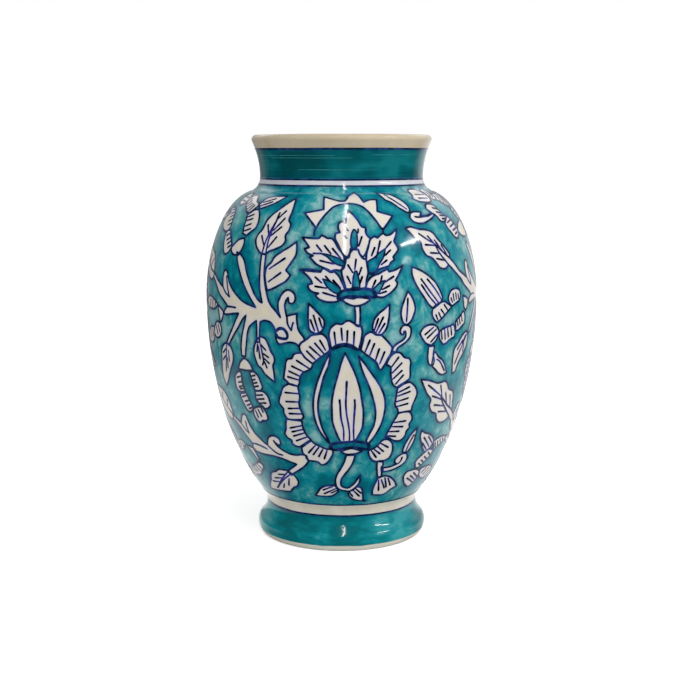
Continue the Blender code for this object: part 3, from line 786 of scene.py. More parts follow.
LEFT_EDGE = (
    Motif(
        "left_high_flower",
        reserves="""-47.3,209.8 -50.1,210.9 -52.5,213 -55.8,214.2 -58.6,213.6 -59.8,212.1 -58.2,208.9
    -55.8,207.1 -52.5,204.6 -50.9,204.2 -48.5,206.2 -46.8,208.3; -60.4,212 -63,214.6 -67,215.2 -70,212.8
    -68,209.6 -63.6,208.4 -60.6,209.6; -46.8,206.2 -44.4,206.2 -42.4,203.9 -41,199.8 -41.4,196.2 -43.6,193.9
    -46,191.5 -48.7,192.7 -49.5,196.8 -49.9,200.4 -50.9,203; -63.5,191.5 -62.7,187.4 -61,182.7 -59.4,180.1
    -57,180.4 -55,182.7 -54.1,185.1 -55.8,188 -57.8,190.9 -59.8,193.9 -62,193.5; -61.2,196 -62,199.4
    -64,203.6 -67,206 -72,206.6 -75,203 -74,198 -71,194.8 -68,193.4 -64.7,192.7 -62.3,193.6; -54.1,184.2
    -52.1,186.8 -49.7,189.2 -46.4,190.1 -46,186.8 -47,182.7 -49.3,180.4 -51.7,180.4 -53.7,182.4""",
        hatches="""-47.5,207.4 -50.5,203.9; -49.5,208.6 -52.1,204.8; -51.3,209.2 -53.9,206; -53.3,209.8
    -55.8,207.4; -55,211 -57.4,208.9; -56.8,212.2 -59,210.6; -62,210.6 -67,211; -62,212.6 -67.4,213;
    -46,203.6 -50.1,201.8; -45.4,201.2 -49.7,199.8; -45.2,198.3 -49.3,196.5; -44.4,195.6 -48.7,193.9;
    -57.4,183.9 -54.6,185.6; -58.6,185.9 -55.8,188; -60.2,188 -57,189.8; -61.9,190.4 -58.6,192.1; -66.8,201
    -63.2,202.8; -66.4,198.6 -62.6,200.4; -65,196.4 -61.8,197.8; -68,203 -64.4,204.4; -69.6,205 -66,206""",
        heavy="-49.6,181.7 -48.4,181.3",
    ),
    Motif(
        "left_far_leaf",
        reserves="""-66.5,167.5 -67.3,171.5 -68.5,176 -70.8,179.3 -75,181 -80,182.5 -84,180 -82,174
    -78,168.5 -74,165 -70,163.6 -67.5,165""",
        hatches="-67,168.2 -72,170 -80,175; -70,176 -73,171; -75,178 -77,173.4",
    ),
    Motif(
        "left_flower",
        reserves="""-60.7,149.7 -58.2,148.1 -56.4,146.8 -56.2,144.4 -57.8,140.7 -59.1,139.4 -59.5,142.3
    -60.2,146.5; -61,150 -66,153 -72,153.5 -75,151 -73,147 -68,146.2 -63,147.5; -58.4,136 -59.6,139
    -62,139.5 -65,136.5 -66.3,131.5 -63.5,129.3 -60.4,130.5 -58.6,133; -66,135.5 -70,135 -75,131 -75.5,126
    -71,124.8 -67.5,127.5 -66.3,131""",
        hatches="""-63.4,151 -64.2,147.6; -66.4,152 -67,147; -69.4,152 -70,147.4; -60,133 -61.4,138;
    -62.2,131.6 -63.6,137; -68,129.4 -68.6,134; -71,128 -71.6,133.4""",
    ),
    Motif(
        "left_hanging_leaf",
        reserves="""-54,127.6 -52,126.2 -50.6,121.7 -51.1,117.2 -52.8,113.7 -54.9,109.6 -57.2,104.6
    -60.2,100.4 -61.9,105 -61.6,111 -60.6,117 -59.9,122 -58,125.5 -56,127.2""",
        hatches="""-58,110 -56,120 -54.5,128; -54,116.7 -53.8,123.3; -55.9,112.2 -55.3,118.5; -59.3,116.7
    -56.3,120; -58.6,121.1 -55.9,123.9""",
    ),
    Motif(
        "left_low_leaf",
        reserves="""-60.5,82 -60.8,87 -62,92 -64.5,95.3 -69,97 -74,97.5 -78,95 -76,88 -71,82 -66,78.6
    -62.5,79""",
        hatches="-61.5,82.5 -68,87 -75,94; -63.4,91 -66,86; -68,94.4 -70.6,89.4",
    ),
    Motif(
        "left_low_flower",
        reserves="""-57.5,63.6 -54,63.2 -50.8,62.6 -49.6,59 -48.8,55 -50.4,54.4 -52.2,58 -54.5,61;
    -50.6,53.4 -48.3,52.6 -47.6,50.8 -49.2,48.6 -51.6,46.8 -54,44.4 -58,43 -63,42 -66,44 -63,47 -58,49.5
    -54,51.5; -57.6,63.8 -60,65.2 -64,65 -69,62 -70,58.5 -66,57.8 -61.5,60""",
        hatches="""-50.4,48.6 -52.6,51; -53.4,46.6 -55.6,49.6; -57,45.4 -59,48; -60,44.6 -62,46.8;
    -60.6,63.6 -61.8,61; -63.6,63.6 -64.6,60; -66.6,62 -67.4,59""",
    ),
)
RIGHT_SIDE = (
    Motif(
        "top_bud",
        reserves="""21.3,216 26,215.6 29,214.9 31.9,212.9 34.1,210.4 35.1,207.9 34.6,205.8 33.4,205.1
    30.9,206.5 28.5,208.6 26,211.1 23.7,212.2; 33.2,202.4 34.6,204.8 38,205.4 41.4,205 39.6,203 42.3,202.9
    45.7,203.3 48.8,204.4 49.6,202.8 46.7,201.3 43.2,199.9 40.3,198.9 36.8,199 34.4,200.2""",
        hatches="26,214 29.9,210.4 33.4,206.9; 36.3,202.7 38.3,202.4 42.3,202.6 45.7,202.9 48.7,204",
    ),
    Motif(
        "high_flower",
        reserves="""46.2,206.9 47.7,209 51.1,209.4 54.1,208.3 56,205.4 58.5,202.6 60,201.9 57.5,200 55.1,199
    52.6,199.7 51.1,202.6 48.7,204.4; 55.6,198.3 56,195.4 58,192.6 60,189.7 62,189 64.9,191.1 65.4,194
    63.9,197.6 61.5,201.1 60,201.9; 66,193.6 69,196.6 74,198.5 79,199 79,190 74,189 69.5,189.8 67,191.5;
    41.8,212.6 44.2,214.7 46.7,217.2 50.6,217.6 54.6,217.2 57.5,216 56,211.5 53.6,210.4 49.2,210.4
    44.7,211.1; 57.5,214 60,217 64,217.5 67,216 64,212.5 60,211.5; 63,211.4 66,214.4 71,214.8 75,212.6
    77.4,209 75.6,206.6 71.5,207.4 67.5,208.8; 72,206 76,206 80,203.4 82,199.6 80.5,197.4 76.5,199
    73.8,201.4""",
        hatches="""51.4,207.2 55.2,206.2; 52.8,204.8 57,203.6; 54.2,202.8 58.4,202.2; 54.8,200.6 58.6,200.8;
    61.8,199.6 57.6,198.2; 63.4,197.4 58.6,195.8; 64.2,194.8 60,193.6; 64,192.4 61,191.4; 46.6,212.8
    54.4,212.6; 47,214.8 55.4,214.6; 59.6,213.4 62.6,215.6; 61.6,213 64.6,215; 66,210.4 67.6,213.4;
    68.8,209.4 70.4,213.2; 71.6,208.8 73.2,212.4; 74.2,208 75.6,210.8; 74.4,203.6 77.4,204.8; 76,201.6
    79.2,203; 78,199.8 80.8,201.2""",
    ),
    Motif(
        "broad_leaf",
        reserves="""29,196.5 31.9,197.2 35.9,195.8 40.3,195.1 43.7,193.3 45.7,189.7 47.7,186.9 49.6,184
    51.4,180.6 51.2,178.2 48,181.4 45.4,184.2 43.2,187 44.4,183 46.4,179.2 49,175.4 49.2,174 47.2,172.6
    44.2,173.3 42.3,176.1 40.3,179 37.1,181.1 35.6,185.1 35.4,188.3 33.4,190.4 30.9,194""",
        hatches="""35.4,193.3 39.6,189.6 43.2,187; 40,191.7 42.9,187.2; 43.5,189.2 47.2,182.4; 47,186.2
    49.6,180.2; 37.6,186.9 42.8,186.2; 39.6,182.2 45.4,181.4; 42.6,178.7 47.8,177.2""",
    ),
    Motif(
        "tall_bud",
        reserves="""29.2,174.9 29,171.1 29.9,166.9 31.9,161.9 34.4,156.9 36.8,152.6 38.8,150.4 42.7,153.3
    44.2,156.1 42.7,160.4 40.3,165.4 36.8,169.7 32.4,173.3""",
        hatches="""33.1,167.9 37.3,160.4 41.8,153.3; 36.2,167.6 40.3,161.1 43.2,155.4; 33.1,164.7 36.8,157.6
    40.3,152.6""",
    ),
    Motif(
        "flower",
        reserves="""38.4,149.5 39.6,151.8 42.4,153.2 45,153.8 47.6,152 49.8,150 46.7,147 42.8,143.2 41,141.9
    39.4,144 38.4,146.5; 47.7,155.4 48.9,158.6 50.6,160.1 53.6,160.4 55.8,159 56.5,156.1 55.6,153.3
    53.1,151.9 50.1,150.4 48.4,152.6; 58.6,155.2 61,154.6 63.8,152.6 63.2,149 61.6,146.2 60.2,147.6
    59.4,151; 42.7,136.6 43,132 45.2,128.4 47.2,128.8 49.6,130.6 52.6,131.6 53.1,134.9 51.6,139.5 49.2,138.8
    45.7,138.1; 52.6,135.6 55.1,135.2 57.5,136.6 60.5,138.4 61,142 60,145.6 59,145.9 56.5,143.4
    53.6,141.3""",
        hatches="""40.3,146.6 41.5,143.4; 41.8,147.7 43.2,144.5; 43.1,149.5 45.2,146.3; 45,152 47.2,148.4;
    50.9,157.6 51.6,153.3; 52.8,157.9 53.3,154; 49.4,155.4 50.4,152.6; 54.6,156.9 55,154; 44.5,131.3
    43.7,137.4; 46.4,131.3 45.7,138; 48.4,132.4 47.4,138.7; 50.6,133.1 49.6,139; 53.6,136.6 52.8,141;
    55.1,138 54.1,142; 56.8,138.8 55.6,142.7; 58.5,140.2 57.5,144""",
    ),
    Motif(
        "flower_foot",
        reserves="""32.4,136.6 33.9,139.5 35.9,140.9 39.3,140.9 41.8,138.4 42.3,135.6 40.8,131.3 38.3,128.8
    35.9,130.2 33.9,133.1; 37.1,128.4 37.1,121.3 38.1,117.7 40.3,116.3 40.8,119.1 40,123.4 40.3,128.4;
    40.3,124.1 41.3,124.5 43.2,121.3 45.7,119.1 47.7,115.6 49.6,110.6 46.7,109.9 44.2,111.3 41.8,114.1
    39.8,116.6""",
        hatches="""34.9,135.6 39.3,139.5; 36.1,133.4 40.8,138.1; 38.1,130.9 41.8,135.2; 47.9,112 44.2,118.4
    42.3,120""",
    ),
    Motif(
        "hanging_leaf",
        reserves="""64.4,132.7 62.5,133.1 59.5,131.3 56.5,127.7 53.6,124.1 53.1,120.6 53.3,114.9 54.1,109.1
    56.5,109.9 57.5,113.4 59.5,117 62.5,120.6 64.9,124.9 65.4,129.9""",
        hatches="""55.1,114.9 58,121.3 61.5,127 64.6,132; 60,126.6 63,131; 56,123.4 60.2,128.4; 61.4,121.4
    61.8,126""",
    ),
    Motif(
        "long_leaf",
        reserves="""34.6,109.1 39.3,107.7 44.7,105.2 47.2,105.2 50.1,105.2 52.1,102.7 53.6,99.9 57.5,97.7
    59,94.9 60,89.9 61.2,86.2 60.4,85.6 57.6,87.4 54.4,90 51.4,93.2 48.4,96.4 50.6,92 53.4,88.2 56.4,84.8
    59.6,81.6 58.6,80 55.6,78.8 51.6,79.1 48.7,82 47.2,85.6 45.2,86.6 43.7,87.7 41.8,91.3 41.8,95.6
    39.3,99.1 36.8,104.1""",
        hatches="""39.1,104.9 43.7,100.6 48.4,96.4; 46.9,103.4 49.2,96; 51.6,98 54,90.6; 55.8,95.6
    58.4,87.4; 42.5,97.6 49.6,94; 44.7,91.6 52.4,89.4; 48.6,86.6 56,85.2""",
    ),
    Motif(
        "low_bud",
        reserves="""40,76.6 42.7,74.5 46.7,72.7 50.1,69.9 52.1,67 50.6,63.4 47.2,60.6 44.7,63.4 42.3,67.7
    40.3,72; 37.1,46.3 38.3,49.1 42.3,49.9 46,49.6 49.4,48 50.4,44 48.6,40 45.6,37.8 42,39.4 39,42.4""",
        hatches="""43,71.3 49.2,64.1; 46.2,71.3 50.6,66.3; 43,67.7 47.7,62.4; 40.6,44.6 44,42.6 47.4,40.4;
    44.4,47.6 49.6,43.8; 42.6,46 48.4,42""",
    ),
    Motif(
        "low_flower",
        reserves="""42.3,54.9 43.2,57 46.2,59.5 49.6,62 52.6,61.6 55.1,59.9 53.6,57 50.6,54.1 47.2,50.9
    44.2,50.6; 52.1,66.3 54.6,67.7 59.5,68.4 64.4,67.4 65.4,64.9 61.5,63.4 57.5,61.3 55.6,59.9; 49.8,49.2
    54,49.6 60,49 66,46 66,42.5 60,40.6 54,42 50.5,45.2; 66,66.8 70,66.4 76,64.4 80,62 80,58.5 74,60.4
    69,62.6 66.4,64.6""",
        hatches="""45.4,53.8 48.2,51.6; 46.8,55.6 50.2,53; 48.4,57.6 52.2,54.8; 50.4,60 54,57; 54.2,65.4
    56.4,61.6; 56.2,66 58.4,62.4; 58.4,66.6 60.6,63.6; 61,66.8 63,64.6; 56,48.4 52.4,45.6; 60,47.4
    55.6,43.8; 63.6,46 59.4,42.2""",
    ),
)
RIGHT = {motif.name: motif for motif in RIGHT_SIDE}
CORE = (
    (TRUNK, 5.0), (TALL_LEAF, 5.0), (SIDE_LEAF, 5.0), (PLUME, 3.0), (NODDING_FLOWER, 4.0), (DROP_LEAF, 5.0),
    (LOW_TRUNK, 3.0), (LOW_LEAF, 0.0),
)
LEFT_HIDDEN = (("top_bud", 0.0), ("tall_bud", -4.0), ("flower_foot", 0.0), ("low_bud", 0.0))
SHORT_BRANCHES = {
    "trunk": "-65.5,167.5 -67,168.6 -66.6,165.6 -64.7,163.8",
    "low_trunk": "-57.4,79.6 -60.1,81.6 -61.8,82.6 -61.9,79.6 -59.1,77.5",
}
LEAFY_BRANCHES = {
    "trunk": """-65.8,169.6 -68.8,173.2 -72,176.4 -74.6,179.2 -76.8,182 -75.6,178 -73.6,174.2 -71,170.4
    -67.8,166.8 -64.6,163.2""",
    "low_trunk": """-57.2,80.4 -59.6,82.6 -62.4,84.4 -65.6,87 -68.6,90.2 -71.6,93.4 -69.4,89 -66.6,85.2
    -63.6,81.8 -60.4,78.6 -57.6,75.8""",
}


@dataclass(frozen=True)
class WashAndLightSpot:
    """A place where the wash is painted paler, or deeper where its share is below 0: partly the wash's own
    unevenness and partly painted light and shade.
    """

    degrees: float
    height_mm: float
    reach_mm: float
    share: float


# Painted light and shade among these spots. On the foot, the pale one at 42 degrees is painted light from the
# right, and the deep ones at -34 and 0 degrees are painted shade. The pale one high on the collar at 36
# degrees is painted light. The rest mix the wash's own unevenness with painted light and shade.
WASH_AND_LIGHT_SPOTS = (
    WashAndLightSpot(33, 132, 17, 1.0), WashAndLightSpot(20, 142, 9, 0.7), WashAndLightSpot(47, 140, 9, 0.7), WashAndLightSpot(40, 50, 15, 0.8),
    WashAndLightSpot(8, 55, 10, 0.7), WashAndLightSpot(15, 86, 7, 0.6), WashAndLightSpot(-27, 72, 8, 0.8), WashAndLightSpot(-28, 122, 12, 0.5),
    WashAndLightSpot(-5, 202, 10, 1.3), WashAndLightSpot(12, 203, 9, 1.1), WashAndLightSpot(-17, 184, 7, 0.6), WashAndLightSpot(50, 197, 10, 0.7),
    WashAndLightSpot(-39, 211, 8, 0.5), WashAndLightSpot(-3, 152, 16, -1.4), WashAndLightSpot(-20, 206, 13, -1.2), WashAndLightSpot(28, 196, 18, -1.2),
    WashAndLightSpot(-46, 165, 20, -0.8), WashAndLightSpot(-13, 60, 16, -1.0), WashAndLightSpot(49, 170, 8, -0.6), WashAndLightSpot(37, 98, 9, -0.8),
    WashAndLightSpot(-27, 55, 10, -0.8), WashAndLightSpot(-30, 102, 8, -0.5), WashAndLightSpot(42, 10, 20, 1.9), WashAndLightSpot(-34, 10, 20, -1.2),
    WashAndLightSpot(0, 10, 14, -1.2), WashAndLightSpot(58, 138, 16, 0.8), WashAndLightSpot(-30, 190, 16, 0.6), WashAndLightSpot(36, 233, 15, 1.2),
    WashAndLightSpot(-6, 216, 9, 0.9),
)


@dataclass(frozen=True)
class Stroke:
    """A painted line on the chart: its points, half its width and how thick its colour lies at each."""

    points: np.ndarray
    half_widths: np.ndarray
    loads: np.ndarray
    closed: bool = False


@dataclass
class Ornament:
    """The painted figures, smoothed from their drawn points into fills and lines on the chart.

    The chart's flat unit is the millimetre at the mean radius, so that corners and curves look as painted.
    """

    mean_radius_mm: float = 76.0
    corner_degrees: float = 52.0
    curve_step_mm: float = 0.95
    least_gap: float = 1e-6
    fill_step_mm: float = 1.35
    fill_row: float = 0.87
    fill_margin: float = 0.45
    weld_mm: float = 1e-5
    overrun_mm: float = 0.35
    round_start: float = 0.12
    round_length: float = 0.7
    even_load: float = 0.4
    load_run_mm: float = 9.0
    wobble: float = 0.10
    wobble_per_mm: Pair = (0.9, 0.37)
    wave_counts: tuple[int, ...] = (2, 5, 9, 17)
    ring_steps: int = 360
    ring_sway: float = 0.16
    glint_line_step_degrees: float = 1.0
    glint_line_wave_mm: float = 0.15
    seed: int = 11

    def __post_init__(self) -> None:
        """Starts empty, with the hand's own unevenness seeded."""
        self.hand = random.Random(self.seed)
        self.reserves: list[list[np.ndarray]] = []
        self.washes: list[list[np.ndarray]] = []
        self.dark_washes: list[list[np.ndarray]] = []
        self.strokes: list[Stroke] = []
        self.hatching: list[Stroke] = []
        self.glint_lines: list[Stroke] = []
        self.flat = np.array([math.radians(1) * self.mean_radius_mm, 1.0])

    def paint(self) -> None:
        """Lays the figures round the wall: three repeats, whose two seen sides differ as drawn."""
        for turn in (0, REPEAT_DEGREES, -REPEAT_DEGREES):
            for motif in CENTRE:
                self.add(motif, turn, 0)
        for motif, _ in CORE:
            self.add(motif, 0, 0)
        for motif in LEFT_EDGE:
            self.add(motif, 0, 0)
        for name, lift in LEFT_HIDDEN:
            self.add(RIGHT[name], -REPEAT_DEGREES, lift)
        for turn in (0, REPEAT_DEGREES):
            for motif in RIGHT_SIDE:
                self.add(motif, turn, 0)
            for motif, lift in CORE:
                self.add(self._leafy(motif), turn + REPEAT_DEGREES, lift)

    @staticmethod
    def _leafy(motif: Motif) -> Motif:
        """Lengthens a trunk's side branch into the leaf beside it.

        Args:
            motif: a figure as drawn.

        Returns:
            The figure, changed only if it is a trunk.
        """
        if motif.name not in LEAFY_BRANCHES:
            return motif
        drawn = " ".join(motif.reserves.split())
        short, leafy = SHORT_BRANCHES[motif.name], LEAFY_BRANCHES[motif.name]
        return replace(motif, reserves=drawn.replace(short, leafy))

    def add(self, motif: Motif, turn: float, lift: float) -> None:
        """Adds one figure's fills and lines.

        Args:
            motif: the figure.
            turn: degrees round the axis.
            lift: millimetres up.
        """
        fills = (("reserves", Brush.OUTLINE), ("washes", Brush.FINE), ("dark_washes", Brush.HEAVY))
        for field, brush in fills:
            paths = read_paths(getattr(motif, field), turn, lift)
            if paths:
                getattr(self, field).append([self._outline(path, brush) for path in paths])
        for field, brush in (("hatches", Brush.HATCH), ("lines", Brush.OUTLINE), ("heavy", Brush.HEAVY)):
            kept = self.hatching if brush is Brush.HATCH else self.strokes
            for path in read_paths(getattr(motif, field), turn, lift):
                kept.append(self._stroke(self._curve(path * self.flat), brush))

    def ring(self, height_mm: float, wave_mm: float) -> None:
        """Adds a line right round the wall, as steady as a banding wheel and a hand make it.

        Args:
            height_mm: its height.
            wave_mm: how far it strays up and down.
        """
        turns = np.linspace(-math.pi, math.pi, self.ring_steps, endpoint=False)
        heights = height_mm + self.wave(turns, wave_mm)
        widths = 1 + self.wave(turns, self.ring_sway)
        half = Brush.RING.value[0] / 2 * MM * widths
        loads = np.full(len(turns), self.even_load)
        self.strokes.append(Stroke(np.column_stack([turns, heights * MM]), half, loads, True))

    def skip(self, height_mm: float, start: float, end: float) -> None:
        """Adds a thin pale line on the collar: a painted glint.

        Args:
            height_mm: its height.
            start: degrees round the axis where it starts.
            end: degrees where it ends.
        """
        turns = np.arange(start, end, self.glint_line_step_degrees)
        heights = height_mm + self.wave(np.radians(turns), self.glint_line_wave_mm)
        self.glint_lines.append(self._stroke(np.column_stack([turns, heights]) * self.flat, Brush.SKIP))

    def wave(self, turns: np.ndarray, size: float) -> np.ndarray:
        """Draws a slow uneven wave round the axis.

        Args:
            turns: angles round the axis.
            size: how far the wave goes to each side.

        Returns:
            The wave at each angle.
        """
        total = np.zeros_like(turns)
        for count in self.wave_counts:
            total += np.sin(count * turns + self.hand.uniform(0, FULL_TURN)) / count**0.5
        return size * total / 2

    def _outline(self, path: np.ndarray, brush: Brush) -> np.ndarray:
        """Smooths a closed outline between its corners, and adds its lines.

        Args:
            path: degrees and millimetres of the drawn points.
            brush: the line that goes round it.

        Returns:
            The smooth outline in flat millimetres.
        """
        flat = path * self.flat
        before, after = flat - np.roll(flat, 1, axis=0), np.roll(flat, -1, axis=0) - flat
        bend = np.arctan2(before[:, 0] * after[:, 1] - before[:, 1] * after[:, 0], (before * after).sum(1))
        corners = [int(i) for i in np.flatnonzero(np.abs(bend) > math.radians(self.corner_degrees))]
        if not corners:
            whole = self._curve(flat, True)
            self.strokes.append(self._stroke(whole, brush, True))
            return whole
        pieces = []
        for first, last in zip(corners, corners[1:] + [corners[0] + len(flat)]):
            piece = self._curve(flat[[i % len(flat) for i in range(first, last + 1)]])
            self.strokes.append(self._stroke(piece, brush))
            pieces.append(piece[:-1])
        return np.concatenate(pieces)

    def _curve(self, points: np.ndarray, closed: bool = False) -> np.ndarray:
        """Draws a smooth curve through points, evenly stepped.

        Args:
            points: flat millimetres.
            closed: whether it runs back to its start.

        Returns:
            Points along the curve.
        """
        if closed:
            ends = np.concatenate([points[-1:], points, points[:2]])
        else:
            ends = np.concatenate([2 * points[:1] - points[1:2], points, 2 * points[-1:] - points[-2:-1]])
        drawn = []
        for a, b, c, d in zip(ends, ends[1:], ends[2:], ends[3:]):
            count = max(1, math.ceil(np.hypot(*(c - b)) / self.curve_step_mm))
            gaps = [max(self.least_gap, np.hypot(*(q - p)) ** 0.5) for p, q in ((a, b), (b, c), (c, d))]
            leave = (b - a) / gaps[0] - (c - a) / (gaps[0] + gaps[1]) + (c - b) / gaps[1]
            reach = (c - b) / gaps[1] - (d - b) / (gaps[1] + gaps[2]) + (d - c) / gaps[2]
            leave, reach = leave * gaps[1], reach * gaps[1]
            for t in np.arange(count) / count:
                drawn.append(
                    (2 * t**3 - 3 * t**2 + 1) * b + (t**3 - 2 * t**2 + t) * leave
                    + (3 * t**2 - 2 * t**3) * c + (t**3 - t**2) * reach
                )
        return np.array(drawn if closed else drawn + [points[-1]])

    def _stroke(self, flat: np.ndarray, brush: Brush, closed: bool = False) -> Stroke:
        """Gives a curve the width that a loaded brush leaves: round ends, a taper and a light wobble.

        Args:
            flat: the curve in flat millimetres.
            brush: the line's kind.
            closed: whether it runs back to its start.

        Returns:
            The stroke on the chart.
        """
        start, end = brush.value
        if not closed:
            first, last = flat[0] - flat[1], flat[-1] - flat[-2]
            first, last = first / np.hypot(*first), last / np.hypot(*last)
            ends = flat[0] + first * self.overrun_mm, flat[-1] + last * self.overrun_mm
            flat = np.concatenate([ends[:1], flat, ends[1:]])
        along = np.concatenate([[0], np.cumsum(np.hypot(*np.diff(flat, axis=0).T))])
        widths = start + (end - start) * along / along[-1]
        phase = self.hand.uniform(0, FULL_TURN)
        quick, slow = self.wobble_per_mm
        widths = widths * (1 + self.wobble * np.sin(along * quick + phase) * np.cos(along * slow + 2 * phase))
        if not closed:
            for near, width in ((along, start), (along[-1] - along, end)):
                share = np.clip((near + self.round_start * width) / (self.round_length * width), 0, 1)
                widths = widths * np.sqrt(1 - (1 - share) ** 2)
        chart = flat / self.flat * (math.radians(1), MM)
        loads = np.full(len(flat), self.even_load)
        if brush is Brush.HATCH:
            loads = np.clip(1 - along / self.load_run_mm, self.even_load / 2, 1)
        return Stroke(chart, widths / 2 * MM, loads, closed)

    def filled(self, outlines: list[np.ndarray]) -> tuple[np.ndarray, list]:
        """Covers the union of some outlines with small triangles.

        Args:
            outlines: closed outlines in flat millimetres.

        Returns:
            Points on the chart, and triangles.
        """
        points, faces, start = list(np.concatenate(outlines)), [], 0
        for outline in outlines:
            faces.append(list(range(start, start + len(outline))))
            start += len(outline)
        low, high = np.min(points, axis=0), np.max(points, axis=0)
        step = self.fill_step_mm
        rows = np.arange(low[1], high[1], step * self.fill_row)
        starts = [low[0] + step / 2 * (row % 2) for row in range(len(rows))]
        grid = np.array([(x, y) for left, y in zip(starts, rows) for x in np.arange(left, high[0], step)])
        inside = np.zeros(len(grid), bool)
        for outline in outlines:
            inside |= self._within(grid, outline)
        tree = kdtree.KDTree(len(points))
        for index, point in enumerate(points):
            tree.insert((*point, 0), index)
        tree.balance()
        kept = [p for p in grid[inside] if tree.find((*p, 0))[2] > step * self.fill_margin]
        made = geometry.delaunay_2d_cdt([Vector(p) for p in points + kept], [], faces, 1, self.weld_mm)
        chart = np.array([tuple(v) for v in made[0]]) / self.flat * (math.radians(1), MM)
        return chart, made[2]

    @staticmethod
    def _within(points: np.ndarray, outline: np.ndarray) -> np.ndarray:
        """Tells which points lie inside an outline.

        Args:
            points: rows of two coordinates.
            outline: the closed outline's points.

        Returns:
            Whether each point is inside.
        """
        inside = np.zeros(len(points), bool)
        for a, b in zip(outline, np.roll(outline, -1, axis=0)):
            crosses = (a[1] > points[:, 1]) != (b[1] > points[:, 1])
            rise = b[1] - a[1] if abs(b[1] - a[1]) > LEAST else LEAST
            inside ^= crosses & (points[:, 0] < (b[0] - a[0]) * (points[:, 1] - a[1]) / rise + a[0])
        return inside


